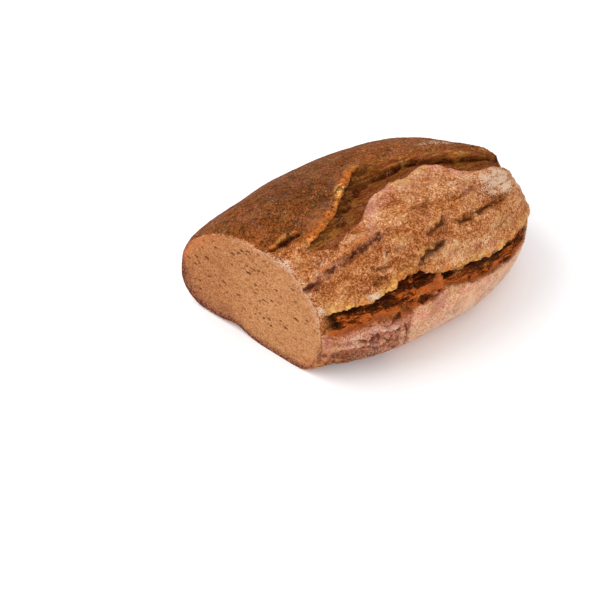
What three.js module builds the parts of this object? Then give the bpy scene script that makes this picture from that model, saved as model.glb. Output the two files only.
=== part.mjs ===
// A hearth-baked rye and wheat loaf with its first slices already taken off.
// Millimetres, +Z up. The loaf lies on its flat base along X, with the cut face at the -X end
// and the rounded heel at the +X end. -Y is the front, the side with the long oven tear.
// The origin is the middle of the footprint's bounding box, on the surface the loaf stands on.
import * as THREE from "three";
import { ParametricGeometry } from "three/addons/geometries/ParametricGeometry.js";
import { mergeVertices } from "three/addons/utils/BufferGeometryUtils.js";

// Driving dimensions. Stations along the loaf are measured from the cut, on the centre line.
const LENGTH = 212; // from the cut to the far tip
const SLICED_OFF = 36; // what was cut away: the cut isn't at the end, so it has a full outline
const HALF_WIDTH = 78; // at the widest station, the same on both sides
const HEIGHT = 101; // at the highest station
const HIGHEST_AT = 83;
const HEIGHT_FULLNESS = [2.9, 2.95];
const BACK = { widestAt: 108, fullness: [2.0, 1.95], bellyHeight: 25, baseShare: 0.68, dome: 0.97 };
const FRONT = { widestAt: 88, fullness: [1.9, 2.7], bellyHeight: 38, baseShare: 0.7, dome: 0.83 };
const RIDGE_SHIFT = 0.22; // how far the ridge lies towards the front, as a share of the half width
const UNDERCUT = 1.14; // roundness of the turn from the belly down to the base
const TIP_LIFT = 13; // the heel's underside curves up off the surface by this much
const TIP_LIFT_FROM = 0.5; // share of the far half where that curve starts
const CUT_TURN = -0.37; // the knife went across at this slope, x per y
const CUT_TURN_FADES = 90; // station where the rings stand square to the loaf again

// Angles round the loaf are in degrees from straight up, positive towards the front, about a
// lengthwise line at this height. It sinks to a share of the loaf's own height at the heel.
const AXIS_HEIGHT = 35;
const AXIS_SHARE = 0.56;

// The two oven tears. Each edge is a list of [station, angle]. Above a tear the crust stands up
// as a lip, under the lip it drops steeply to the floor, and the floor rises to the lower edge.
const RIDGE_TEAR = {
  upper: [[14, 26], [37, 20], [65, 4], [92, -13], [120, -7], [150, 3], [197, 7]],
  lower: [[14, 37], [31, 35], [49, 29], [75, 19], [101, 10], [127, 8], [150, 18], [197, 24]],
  lip: 2.5,
  depth: 5,
};
const SIDE_TEAR = {
  upper: [[-8, 67], [20, 64], [40, 62], [72, 57], [104, 62], [150, 67], [198, 71]],
  lower: [[-8, 82], [20, 83], [40, 77], [80, 76], [104, 74], [150, 80], [198, 93]],
  lip: 2.5,
  depth: 6,
};
const TEAR_FADE = 14; // length over which a tear opens and closes
const LIP_SPREAD = 3.5; // degrees from the top of a lip back to the plain crust
const LIP_FALL = 2.5; // degrees from the top of a lip down to the tear's floor

// Mesh density. A ring runs over the top from the back to the front, then along the flat base.
const BACK_STEPS = 20; // from the base up to the first tear's lip
const PLATE_STEPS = 9; // between the two tears
const FRONT_STEPS = 12; // from the second tear down to the base
const LIP_STEPS = 2;
const FALL_STEPS = 1;
const FLOOR_STEPS = 3;
const BASE_STEPS = 6;
const BODY_RINGS = 38; // evenly spaced, as far as BODY_LENGTH
const BODY_LENGTH = 152;
const TIP_RINGS = 14; // drawing together towards the tip

const clamp01 = (t) => Math.min(1, Math.max(0, t));
const smooth = (t) => clamp01(t) ** 2 * (3 - 2 * clamp01(t));
const degrees = THREE.MathUtils.radToDeg;

/** Smooth reading of a list of [station, value]. */
function along(points, station) {
  const next = points.findIndex(([x]) => x > station);
  if (next === 0) return points[0][1];
  if (next < 0) return points.at(-1)[1];
  const [x0, v0] = points[next - 1];
  const [x1, v1] = points[next];
  return v0 + (v1 - v0) * smooth((station - x0) / (x1 - x0));
}

/** How full the loaf is at a station: 1 at its fullest, 0 at the ends. */
function fullness(station, fullestAt, [rise, fall]) {
  const reach = station > fullestAt ? LENGTH - fullestAt : fullestAt + SLICED_OFF;
  const share = clamp01(Math.abs(station - fullestAt) / reach);
  return (1 - share ** rise) ** (1 / fall);
}

/** The sizes of the ring at a station. */
function ringSizes(station) {
  const full = fullness(station, HIGHEST_AT, HEIGHT_FULLNESS);
  const front = HALF_WIDTH * fullness(station, FRONT.widestAt, FRONT.fullness);
  const back = HALF_WIDTH * fullness(station, BACK.widestAt, BACK.fullness);
  return {
    full,
    front,
    back,
    height: HEIGHT * full,
    ridge: (RIDGE_SHIFT * (front + back)) / 2,
    axis: Math.min(AXIS_HEIGHT, AXIS_SHARE * HEIGHT * full),
  };
}

/** A point of one side's outline, [outwards, up]: turn is 0 at the base, 1 at the belly, 2 on top. */
function sidePoint(turn, side, width, ridge, sizes) {
  const belly = side.bellyHeight * sizes.full;
  if (turn <= 1) {
    const base = side.baseShare * width;
    const a = turn * (Math.PI / 2);
    return [base + (width - base) * Math.sin(a) ** UNDERCUT, belly * (1 - Math.cos(a) ** UNDERCUT)];
  }
  const a = (turn - 1) * (Math.PI / 2);
  return [
    (width - ridge) * Math.cos(a) ** side.dome + ridge,
    belly + (sizes.height - belly) * Math.sin(a) ** side.dome,
  ];
}

/** A point of the outline, [across, up]: turn is 0 at the back's base and 4 at the front's. */
function outlinePoint(turn, sizes) {
  if (turn <= 2) return sidePoint(turn, BACK, sizes.back, -sizes.ridge, sizes);
  const [out, up] = sidePoint(4 - turn, FRONT, sizes.front, sizes.ridge, sizes);
  return [-out, up];
}

const angleOf = ([across, up], axis) => degrees(Math.atan2(-across, up - axis));

/** The outline's point at an angle, found by halving the range it lies in. */
function outlineAt(angle, sizes) {
  let [low, high] = [0, 4];
  for (let halving = 0; halving < 30; halving += 1) {
    const middle = (low + high) / 2;
    if (angleOf(outlinePoint(middle, sizes), sizes.axis) < angle) low = middle;
    else high = middle;
  }
  return outlinePoint((low + high) / 2, sizes);
}

/** How far a tear is open at a station, from 0 to 1. */
function openness({ upper }, station) {
  const start = smooth((station - upper[0][0]) / TEAR_FADE);
  return start * smooth((upper.at(-1)[0] - station) / TEAR_FADE);
}

/** A tear's part of a ring: each knot is the end of a span, with its steps and its standing. */
function tearKnots(tear, station, stepsBefore) {
  const top = along(tear.upper, station);
  const open = openness(tear, station);
  return [
    { angle: top - LIP_SPREAD, stand: 0, steps: stepsBefore },
    { angle: top, stand: tear.lip * open, steps: LIP_STEPS },
    { angle: top + LIP_FALL, stand: -tear.depth * open, steps: FALL_STEPS },
    { angle: along(tear.lower, station), stand: 0, steps: FLOOR_STEPS },
  ];
}

/** One ring of points round the loaf, as [across, up]. */
function ring(station) {
  const sizes = ringSizes(station);
  const knots = [
    { angle: angleOf(outlinePoint(0, sizes), sizes.axis), stand: 0, steps: 0 },
    ...tearKnots(RIDGE_TEAR, station, BACK_STEPS),
    ...tearKnots(SIDE_TEAR, station, PLATE_STEPS),
    { angle: angleOf(outlinePoint(4, sizes), sizes.axis), stand: 0, steps: FRONT_STEPS },
  ];
  const points = [];
  for (const [index, to] of knots.entries()) {
    const from = knots[Math.max(0, index - 1)];
    for (let step = index ? 1 : 0; step <= to.steps; step += 1) {
      const share = to.steps ? step / to.steps : 0;
      const stand = THREE.MathUtils.lerp(from.stand, to.stand, share);
      const [across, up] = outlineAt(THREE.MathUtils.lerp(from.angle, to.angle, share), sizes);
      const stretch = 1 + stand / Math.hypot(across, up - sizes.axis);
      points.push([across * stretch, sizes.axis + (up - sizes.axis) * stretch]);
    }
  }
  const first = points[0];
  const last = points.at(-1);
  for (let step = 1; step < BASE_STEPS; step += 1) {
    points.push([THREE.MathUtils.lerp(last[0], first[0], step / BASE_STEPS), 0]);
  }
  return points;
}

/** Station of a ring: evenly spaced along the body, then drawing together at the tip. */
function ringStation(index) {
  if (index <= BODY_RINGS) return (BODY_LENGTH * index) / BODY_RINGS;
  const turn = ((index - BODY_RINGS) / TIP_RINGS) * (Math.PI / 2);
  return BODY_LENGTH + (LENGTH - BODY_LENGTH) * Math.sin(turn);
}

/** A ring's points in space: the near ones lean with the cut, the far ones lift off the base. */
function placedRing(index) {
  const station = ringStation(index);
  const far = clamp01((station - HIGHEST_AT) / (LENGTH - HIGHEST_AT));
  const lift = TIP_LIFT * clamp01((far - TIP_LIFT_FROM) / (1 - TIP_LIFT_FROM)) ** 2;
  const turn = CUT_TURN * (1 - smooth(station / CUT_TURN_FADES));
  if (index === BODY_RINGS + TIP_RINGS) return [new THREE.Vector3(LENGTH, 0, lift)];
  return ring(station).map(([y, z]) => new THREE.Vector3(station + turn * y, y, Math.max(0, z) + lift));
}

/** The closed skin: the cut face's middle, then the rings, which end in the tip. */
function loafGeometry() {
  const cutMiddle = [new THREE.Vector3(0, 0, HEIGHT * 0.45)];
  const rings = Array.from({ length: BODY_RINGS + TIP_RINGS + 1 }, (_, index) => placedRing(index));
  const rows = [cutMiddle, ...rings];
  const around = rings[0].length;
  const skin = new ParametricGeometry(
    (u, v, target) => {
      const row = rows[Math.round(v * (rows.length - 1))];
      target.copy(row[Math.round(u * around) % row.length]);
    },
    around,
    rows.length - 1,
  );
  skin.deleteAttribute("normal");
  skin.deleteAttribute("uv");
  const merged = mergeVertices(skin, 1e-3);
  merged.computeVertexNormals();
  return merged;
}

function makeLoaf() {
  const geometry = loafGeometry();
  geometry.computeBoundingBox();
  const middle = geometry.boundingBox.getCenter(new THREE.Vector3());
  const crust = new THREE.MeshStandardMaterial({ color: 0x8a4f26, roughness: 0.8, metalness: 0 });
  const loaf = new THREE.Mesh(geometry, crust);
  loaf.name = "loaf";
  loaf.position.set(-middle.x, -middle.y, 0);
  return loaf;
}

const slicedLoaf = new THREE.Group();
slicedLoaf.add(makeLoaf());

export default slicedLoaf;
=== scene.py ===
"""Looks of a hearth-baked rye loaf with its first slices taken off.

The loaf is one baked piece, so it is one closed mesh: a crust skin strung on rings, its flat
base, and the cut face of crumb. Shapes are worked out in millimetres, in stations along the
loaf from the cut and in angles round it from straight up, positive towards the front.
"""

from __future__ import annotations

import logging
import math
from dataclasses import dataclass, field
from enum import Enum
from typing import Any, Sequence

import bmesh
import bpy
import numpy as np
from mathutils import Matrix, Vector
from mathutils.geometry import delaunay_2d_cdt


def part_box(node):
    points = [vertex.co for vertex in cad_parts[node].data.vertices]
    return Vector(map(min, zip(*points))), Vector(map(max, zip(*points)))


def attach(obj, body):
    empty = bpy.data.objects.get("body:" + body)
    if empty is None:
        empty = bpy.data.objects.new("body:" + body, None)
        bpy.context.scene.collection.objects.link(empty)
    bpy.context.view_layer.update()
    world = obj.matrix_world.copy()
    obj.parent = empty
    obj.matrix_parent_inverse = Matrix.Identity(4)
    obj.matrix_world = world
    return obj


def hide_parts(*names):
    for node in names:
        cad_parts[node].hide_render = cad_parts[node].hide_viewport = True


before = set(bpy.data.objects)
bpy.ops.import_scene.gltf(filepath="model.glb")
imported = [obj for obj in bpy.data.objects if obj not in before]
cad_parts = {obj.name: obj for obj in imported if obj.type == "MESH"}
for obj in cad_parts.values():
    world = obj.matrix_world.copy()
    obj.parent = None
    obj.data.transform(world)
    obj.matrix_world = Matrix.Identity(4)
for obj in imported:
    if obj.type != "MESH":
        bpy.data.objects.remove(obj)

MM = 0.001
FAR = 1e6
NODE = "loaf"
Line = tuple[tuple[float, float], ...]
Colour = tuple[int, int, int]
Ramp = tuple[tuple[float, Colour], ...]
Socket = bpy.types.NodeSocket

log = logging.getLogger("loaf")


class Mask(Enum):
    """The vertex attributes that tell the finishes what each place of the loaf is."""

    BAKE = "bake"  # 0 pale, 1 dark
    TORN = "torn"  # 1 where the dough tore open
    LIP = "lip"  # 1 on the thin bright edge of a tear
    # Painted shade: how much the crust is darkened in crevices, gaps, pits and steps.
    CREVICE_SHADE = "deep"  # 1 at the bottom of a crevice
    # Low values also give painted shade under the lip, through the torn dough's colours.
    RISE = "rise"  # 0 under a tear's lip, 1 where its floor meets the crust again
    RIDGE = "ridge"  # 1 round the tear along the ridge, 0 round the one on the side
    FLOUR = "flour"  # how much flour lies there
    CRUMB = "crumb"  # 1 on the cut face
    RIM = "rim"  # millimetres from the crust, on the cut face
    # Painted shade: how much the crumb is darkened inside its pores.
    PORE_SHADE = "pore"  # 1 at the bottom of a pore
    DAMP = "damp"  # 1 where steam left the crust purplish


def smooth(value: np.ndarray | float) -> np.ndarray:
    """Ease from 0 to 1, flat at both ends."""
    share = np.clip(value, 0.0, 1.0)
    return share * share * (3.0 - 2.0 * share)


def past(value: np.ndarray, start: float, width: float) -> np.ndarray:
    """Ease from 0 at the start to 1 one width after it."""
    return smooth((value - start) / width)


def until(value: np.ndarray, end: float, width: float) -> np.ndarray:
    """Ease from 1 one width before the end to 0 at the end."""
    return smooth((end - value) / width)


def bell(distance: np.ndarray, width: float | np.ndarray) -> np.ndarray:
    """A bell of height 1 that falls off over the given width."""
    return np.exp(-((distance / width) ** 2))


def along(line: Line, stations: np.ndarray, rounding: float = 3.0) -> np.ndarray:
    """Read a line of (station, value) corners, with its corners rounded off.

    Args:
        line: The corners, in order of station.
        stations: Where to read it.
        rounding: How far each corner is rounded, in millimetres.

    Returns:
        The value at each station.
    """
    xs, ys = np.array(line).T
    offsets = np.linspace(-1.0, 1.0, 7) * rounding
    weights = bell(offsets, rounding * 0.7)
    total = sum(w * np.interp(stations + o, xs, ys) for o, w in zip(offsets, weights))
    return total / weights.sum()


class Noise:
    """Smooth seeded noise over space, for arrays of points in millimetres."""

    TABLE = 4096
    OFF_GRID = 61.7
    LAYER_APART = 17.3

    def __init__(self, seed: int) -> None:
        """Shuffle the table of slopes.

        Args:
            seed: The same seed always gives the same noise.
        """
        source = np.random.default_rng(seed)
        slopes = source.normal(size=(self.TABLE, 3))
        self.slopes = slopes / np.linalg.norm(slopes, axis=1, keepdims=True)
        self.order = source.permutation(self.TABLE)

    def at(self, points: np.ndarray, size: float | tuple[float, float, float]) -> np.ndarray:
        """Read the noise.

        Args:
            points: Any array of points, its last axis x, y and z.
            size: The spacing of the bumps, the same all ways or one for each axis.

        Returns:
            A value near -1 to 1 for each point.
        """
        place = points / np.asarray(size) + self.OFF_GRID
        cell = np.floor(place).astype(int)
        inside = place - cell
        ease = inside**3 * (inside * (inside * 6.0 - 15.0) + 10.0)
        total = np.zeros(points.shape[:-1])
        last = self.TABLE - 1
        for corner in np.ndindex(2, 2, 2):
            at = cell + corner
            key = self.order[at[..., 2] & last]
            key = self.order[(at[..., 1] + key) & last]
            key = self.order[(at[..., 0] + key) & last]
            lean = ((inside - corner) * self.slopes[key]).sum(-1)
            weight = np.where(corner, ease, 1.0 - ease).prod(-1)
            total += lean * weight
        return total * 1.7

    def layers(self, points: np.ndarray, size: float, count: int = 3, keep: float = 0.5) -> np.ndarray:
        """Add up ever finer noise, each layer's bumps half the size of those before.

        Args:
            points: The points to read it at.
            size: The spacing of the coarsest layer's bumps.
            count: How many layers.
            keep: The strength of each layer against the one before.

        Returns:
            A value near -1 to 1 for each point.
        """
        total = sum(keep**i * self.at(points + self.LAYER_APART * i, size / 2**i) for i in range(count))
        return total / sum(keep**i for i in range(count))


@dataclass(frozen=True)
class Side:
    """One side of the loaf's outline."""

    widest_at: float  # station
    rise: float  # how squarely it swells from its ends, as powers
    fall: float
    belly: float  # height of its widest line
    base_share: float  # half width of the base against that of the belly
    dome: float  # below 1 it is fuller than an ellipse over the belly


@dataclass(frozen=True)
class LoafForm:
    """The loaf's plain shape, before its tears: rings along the loaf."""

    length: float = 212.0
    sliced_off: float = 36.0
    half_width: float = 78.0
    height: float = 101.0
    highest_at: float = 83.0
    height_rise: float = 2.9
    height_fall: float = 2.95
    back: Side = Side(108.0, 2.0, 1.95, 25.0, 0.68, 0.97)
    front: Side = Side(88.0, 1.9, 2.7, 38.0, 0.7, 0.83)
    ridge_shift: float = 0.22  # how far the ridge lies to the front, as a share of the half width
    undercut: float = 1.14
    tip_lift: float = 13.0
    cut_turn: float = -0.37  # how far along the loaf the cut runs for each millimetre across it
    cut_turn_fades: float = 90.0  # station where the rings stand square
    axis_height: float = 35.0
    axis_share: float = 0.56
    outline_steps: int = 480

    def fullness(self, stations: np.ndarray, at: float, rise: float, fall: float) -> np.ndarray:
        """How full the loaf is at each station: 1 at its fullest, 0 at the ends."""
        reach = np.where(stations > at, self.length - at, at + self.sliced_off)
        share = np.clip(np.abs(stations - at) / reach, 0.0, 1.0)
        return (1.0 - share**rise) ** (1.0 / fall)

    def axis(self, stations: np.ndarray) -> np.ndarray:
        """Height of the line that angles are taken about."""
        full = self.fullness(stations, self.highest_at, self.height_rise, self.height_fall)
        return np.minimum(self.axis_height, self.axis_share * self.height * full)

    def side(self, turn: np.ndarray, side: Side, width: np.ndarray, ridge: np.ndarray,
             full: np.ndarray) -> tuple[np.ndarray, np.ndarray]:
        """One side of each ring.

        Args:
            turn: 0 at the base, 1 at the belly, 2 on the ridge.
            side: Which side's sizes to use.
            width: Half width of each ring on that side.
            ridge: How far each ring's ridge lies towards this side.
            full: How high each ring is, as a share of the highest.

        Returns:
            How far out and how high each point is, one row for each ring.
        """
        width, ridge, full = (a[:, None] for a in (width, ridge, full))
        belly, base = side.belly * full, side.base_share * width
        low = np.clip(turn, 0.0, 1.0) * math.pi / 2
        high = np.clip(turn - 1.0, 0.0, 1.0) * math.pi / 2
        out_low = base + (width - base) * np.sin(low) ** self.undercut
        up_low = belly * (1.0 - np.cos(low).clip(0.0) ** self.undercut)
        out_high = (width - ridge) * np.cos(high).clip(0.0) ** side.dome + ridge
        up_high = belly + (self.height * full - belly) * np.sin(high) ** side.dome
        return np.where(turn <= 1.0, out_low, out_high), np.where(turn <= 1.0, up_low, up_high)

    def outlines(self, stations: np.ndarray) -> tuple[np.ndarray, np.ndarray]:
        """Work out every ring's outline, from the back's base over the ridge to the front's.

        Args:
            stations: The rings' stations.

        Returns:
            Each outline's angles and its distances from the axis, one row for each ring.
        """
        full = self.fullness(stations, self.highest_at, self.height_rise, self.height_fall)
        front, back = (
            self.half_width * self.fullness(stations, s.widest_at, s.rise, s.fall)
            for s in (self.front, self.back)
        )
        ridge = self.ridge_shift * (front + back) / 2.0
        turn = np.linspace(0.0, 2.0, self.outline_steps)[None, :]
        back_out, back_up = self.side(turn, self.back, back, -ridge, full)
        front_out, front_up = self.side(turn, self.front, front, ridge, full)
        across = np.hstack([back_out, -front_out[:, -2::-1]])
        up = np.hstack([back_up, front_up[:, -2::-1]])
        rise = up - self.axis(stations)[:, None]
        return np.degrees(np.arctan2(-across, rise)), np.hypot(across, rise)

    def lift(self, stations: np.ndarray) -> np.ndarray:
        """How far the underside curves up off the surface towards the heel."""
        far = np.clip((stations - self.highest_at) / (self.length - self.highest_at), 0.0, 1.0)
        return self.tip_lift * np.clip((far - 0.5) / 0.5, 0.0, 1.0) ** 2

    def lean(self, stations: np.ndarray) -> np.ndarray:
        """How the near rings lean with the slanting cut, as x for each y."""
        return self.cut_turn * (1.0 - smooth(stations / self.cut_turn_fades))


@dataclass
class Knot:
    """A line along the loaf that columns of the crust are strung between."""

    angle: np.ndarray
    stand: np.ndarray  # how far it stands out of the plain shape, in millimetres
    steps: int  # columns from the knot before
    torn: np.ndarray | float = 0.0
    lip: np.ndarray | float = 0.0
    # deep is painted shade: how much the crust is darkened there.
    deep: np.ndarray | float = 0.0
    rise: np.ndarray | float = 0.0


@dataclass
class Course:
    """How a tear runs along the loaf: angles in degrees and sizes in millimetres at each ring."""

    mm: np.ndarray  # degrees of angle for a millimetre round the crust
    ridged: np.ndarray  # 1 where the dough under the lip swelled into a ridge
    lip: np.ndarray
    gap: np.ndarray
    edge: np.ndarray
    nose: np.ndarray  # the overhanging end of the lip
    under: np.ndarray  # where the lip's underside meets the wall behind it
    flank: np.ndarray  # share of the way to the gap that the lip's bright flank takes
    height: np.ndarray  # of the lip
    depth: np.ndarray
    swell: np.ndarray  # height of the ridge
    bright: np.ndarray  # how light the lip is
    # How much painted shade darkens the gap.
    gap_shade: np.ndarray  # how dark the gap is
    free: np.ndarray  # 0 where a strand of dough bridges the gap

    def either(self, hollow: Any, swollen: Any) -> np.ndarray:
        """The first value where the tear is hollow, the second where it swelled."""
        return hollow + (swollen - hollow) * self.ridged


@dataclass(frozen=True)
class Tear:
    """A tear that opened in the oven, with a lip that overhangs its upper side.

    Each line is a set of (station, angle) corners: the lip's edge, the dark gap under the lip,
    and the edge where the torn floor meets the crust again. Past `ridged_from` the dough under
    the lip swelled into a ridge instead, and the gap lies beyond it. Strands of dough bridge
    the gap at each (station, share) of `bridges`. The lip's bright flank takes the share of
    the way to the gap that `flank_line` gives. `bright_line` says how light the lip is and
    `gap_shade_line` how much painted shade darkens the gap. The lip stands `lip` high and
    overhangs by `reach`, and the floor lies `depth` deep, less before `shallow_to`. It meets
    the crust `edge_drop` of that depth down, and `edge_drop` also sets the painted shade along
    that edge. The tear closes over `fade` at its ends. All sizes are in millimetres.
    """

    lip_line: Line
    gap_line: Line
    edge_line: Line
    bright_line: Line
    lip: float
    reach: float
    depth: float
    seed: int
    gap_shade_line: Line
    ridged_from: float = 999.0
    shallow_to: float = -99.0
    bridges: Line = ()
    flank_line: Line = ((0, 0), (1, 0))
    edge_drop: float = 0.3
    fade: float = 10.0

    def opening(self, stations: np.ndarray) -> np.ndarray:
        """How far the tear is open at each station, from 0 to 1."""
        start, end = self.lip_line[0][0], self.lip_line[-1][0]
        return smooth((stations - start) / self.fade) * smooth((end - stations) / self.fade)

    def course(self, stations: np.ndarray, per_mm: np.ndarray) -> Course:
        """Let the tear's lines wander along the loaf, kept in order round it.

        Args:
            stations: The rings' stations.
            per_mm: Degrees of angle for each millimetre round the crust, at each ring.

        Returns:
            The tear's course.
        """
        noise = Noise(self.seed)
        track = np.stack([stations, stations * 0, stations * 0], -1)

        def wander(size: float, shift: float) -> np.ndarray:
            """Noise along the loaf, read at a distance of its own."""
            return noise.layers(track + shift, size, 3, 0.65)

        lip = along(self.lip_line, stations) + 1.7 * wander(11.0, 0.0)
        gap = along(self.gap_line, stations) + 1.2 * wander(9.0, 40.0)
        edge = along(self.edge_line, stations) + 2.0 * wander(9.0, 80.0)
        gap = np.maximum(gap, lip + 2.5 * per_mm)
        edge = np.maximum(edge, gap + 3.0 * per_mm)
        wall = gap - lip
        flank = along(self.flank_line, stations) * (1.0 + 0.5 * wander(6.0, 60.0))
        reach = self.reach * (1.0 + 1.3 * wander(10.0, 120.0) + 0.5 * wander(4.5, 140.0))
        nose = np.maximum(lip + reach * per_mm, lip + flank * wall)
        depth = self.depth * (1.0 + 0.35 * wander(12.0, 200.0))
        depth *= 1.0 - 0.55 * smooth((self.shallow_to - stations) / 20.0)
        bright = along(self.bright_line, stations) * (0.85 + 1.1 * wander(8.0, 280.0))
        gap_shade = np.clip(0.85 + 1.6 * wander(6.0, 360.0), 0.1, 1.3)
        free = np.ones_like(stations)
        for station, share in self.bridges:
            free *= 1.0 - share * bell(stations - station + wander(6.0, 320.0), 2.6)
        return Course(
            mm=per_mm, ridged=smooth((stations - self.ridged_from) / 18.0),
            lip=lip, gap=gap, edge=edge, nose=nose,
            under=np.maximum(nose - 1.8 * per_mm, lip + 0.18 * wall), flank=flank,
            height=self.lip * (1.0 + 0.7 * wander(8.0, 160.0)), depth=depth,
            swell=1.8 * (1.0 + 0.4 * wander(14.0, 240.0)), bright=np.clip(bright, 0.0, 1.0),
            gap_shade=along(self.gap_shade_line, stations) * gap_shade, free=free,
        )

    def section(self, c: Course, before: int) -> list[Knot]:
        """The tear's cross-section where it is fully open.

        Args:
            c: The tear's course.
            before: How many columns lie between the knot before this tear and its first.

        Returns:
            The knots, from above the lip to below the lower edge.
        """
        mm, lip, edge, height, depth = c.mm, c.lip, c.edge, c.height, c.depth
        wall, wide, either, drop = c.gap - c.lip, c.edge - c.gap, c.either, self.edge_drop
        none = 0.0 * height
        back = np.maximum(lip + 0.6 * wall, c.under + mm)
        # Each knot's deep value is painted shade: under the lip, in the gap and along the lower edge.
        return [
            Knot(lip - 9.0 * mm, none, before),
            Knot(lip - 4.5 * mm, either(0.35, 0.1) * height, 4, lip=0.16 * c.bright),
            Knot(lip - 1.8 * mm, either(0.85, 0.2) * height, 3, lip=0.6 * c.bright),
            Knot(lip - 0.2 * mm, either(1.0, 0.25) * height, 2, either(0.0, 0.5), c.bright),
            Knot(either((lip + c.nose) / 2.0, lip + 0.08 * wall),
                 either(0.95 * height, 0.4 * c.swell), 2,
                 either(0.7 * smooth(4.0 * c.flank), 0.8), either(1.0, 0.4) * c.bright, rise=0.3),
            Knot(either(c.nose, lip + 0.16 * wall), either(0.6 - 0.4 * c.flank, 0.65) * height, 3,
                 either(0.3, 1.0), either(0.95, 0.3) * c.bright, rise=0.3),
            Knot(either(c.nose - 0.1 * mm, lip + 0.28 * wall), either(none, 0.9 * c.swell), 2,
                 either(0.8, 1.0), either(0.5, 0.0) * c.bright, either(0.3, 0.0), either(0.0, 0.55)),
            Knot(either(c.under, lip + 0.5 * wall), either(-0.3 * depth, c.swell), 3,
                 1.0, 0.0, either(0.7, 0.0) * c.gap_shade, either(0.0, 0.65)),
            Knot(either(back, lip + 0.8 * wall), either(-0.66 * depth, 0.5 * c.swell), 5,
                 1.0, 0.0, either(0.5, 0.1) * c.gap_shade, either(0.12, 0.45)),
            Knot(c.gap, -depth, 4, 1.0, 0.0, either(0.65, 1.0) * c.gap_shade, 0.1),
            Knot(c.gap + 0.12 * wide, -0.96 * depth, 3, 1.0, 0.0, 0.6 * c.gap_shade, 0.15),
            Knot(c.gap + 0.4 * wide, -0.62 * depth, 7, 1.0, 0.0, 0.34 * c.gap_shade, 0.45),
            Knot(c.gap + 0.78 * wide, (-0.12 - drop) * depth, 7, 1.0, 0.0, 0.12 * c.gap_shade, 0.8),
            Knot(edge - 0.3 * mm, -drop * depth, 3, 1.0, 0.0, drop, 1.0),
            Knot(edge + 0.7 * mm, 0.1 * height, 2, 0.1, rise=1.0),
            Knot(edge + 2.5 * mm, 0.25 * height, 2, rise=1.0),
            Knot(edge + 6.0 * mm, none, 4, rise=1.0),
        ]

    def knots(self, stations: np.ndarray, per_mm: np.ndarray, before: int) -> list[Knot]:
        """String the tear's cross-section along the loaf, and close it towards its ends.

        Args:
            stations: The rings' stations.
            per_mm: Degrees of angle for each millimetre round the crust, at each ring.
            before: How many columns lie between the knot before this tear and its first.

        Returns:
            The tear's knots, from above its lip to below its lower edge.
        """
        course = self.course(stations, per_mm)
        plan = self.section(course, before)
        opened, free = self.opening(stations), course.free
        first, last = plan[0].angle, plan[-1].angle
        total = sum(knot.steps for knot in plan[1:])
        knots, passed = [], 0
        for knot in plan:
            passed += knot.steps if knots else 0
            shut = first + (last - first) * passed / total
            knots.append(Knot(
                angle=shut + (knot.angle - shut) * smooth(opened * 1.6),
                stand=np.where(knot.stand < 0.0, knot.stand * free, knot.stand) * opened,
                steps=knot.steps, torn=knot.torn * opened, lip=knot.lip * opened,
                deep=knot.deep * opened * free**2,
                rise=np.maximum(knot.rise, 0.85 * (1.0 - free)),
            ))
        return knots


@dataclass(frozen=True)
class Crack:
    """A narrow crack or soft crease pressed into the crust along a line of (station, angle)."""

    line: Line
    width: float
    depth: float
    lip: float = 0.0
    torn: float = 0.0
    # dark: how much painted shade darkens the crack's inside.
    dark: float = 1.0
    ragged: float = 1.0
    shine: float = 0.0
    damp: float = 0.0

    def press(self, flat: np.ndarray, noise: Noise, skin: "CrustSkin") -> None:
        """Press the crack into the skin's relief and colour its masks.

        Args:
            flat: The skin's grid unrolled flat, in millimetres.
            noise: Makes the crack ragged.
            skin: The skin to press into.
        """
        bent = flat[..., :2].copy()
        bent[..., 0] += self.ragged * 1.4 * noise.layers(flat, 7.0, 2)
        bent[..., 1] += self.ragged * 1.5 * noise.layers(flat + 300.0, 5.0, 3, 0.7)
        bent[..., 1] += self.ragged * 1.1 * noise.at(flat + 620.0, 2.8)
        nearest, share, below = self.measure(bent, np.array(self.line) * (1.0, skin.MM_PER_DEGREE))
        taper = smooth(share / 0.2 + 0.12) * smooth((1.0 - share) / 0.2 + 0.12)
        width = self.width * (0.35 + 0.65 * taper) * (1.0 + 0.35 * noise.at(flat + 90.0, 6.0))
        slope = width * np.where(below > 0, 1.5, 0.6)
        broken = np.clip(1.0 + 0.9 * noise.at(flat + 750.0, 5.0), 0.3, 1.3)
        inside = bell(nearest, slope) * taper * broken
        rim = bell(nearest - 1.2 * width, 0.5 * width) * taper * (below < 0)
        skin.relief += self.lip * rim - self.depth * inside
        # Painted shade darkens the inside of the crack.
        skin.put(Mask.CREVICE_SHADE, self.dark * past(inside, 0.25, 0.5))
        skin.put(Mask.TORN, self.torn * smooth(inside * 2.2))
        skin.put(Mask.LIP, self.shine * rim)
        skin.put(Mask.DAMP, self.damp * bell(nearest, 1.1 * width) * taper)

    @staticmethod
    def measure(places: np.ndarray, corners: np.ndarray) -> tuple[np.ndarray, np.ndarray, np.ndarray]:
        """Measure every place of the skin against the crack's line.

        Args:
            places: The places, unrolled flat.
            corners: The line's corners.

        Returns:
            How far each place is from the line, how far along it as a share, and 1 or -1 for
            the side of the line that it lies on.
        """
        nearest = np.full(places.shape[:2], FAR)
        share = np.zeros(places.shape[:2])
        below = np.zeros(places.shape[:2])
        for i, (a, b) in enumerate(zip(corners[:-1], corners[1:])):
            run = b - a
            t = np.clip(((places - a) @ run) / (run @ run), 0.0, 1.0)
            off = places - (a + t[..., None] * run)
            distance = np.hypot(off[..., 0], off[..., 1])
            closer = distance < nearest
            nearest = np.where(closer, distance, nearest)
            share = np.where(closer, (i + t) / (len(corners) - 1), share)
            side = np.sign(run[0] * off[..., 1] - run[1] * off[..., 0])
            below = np.where(closer, side, below)
        return nearest, share, below


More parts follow.
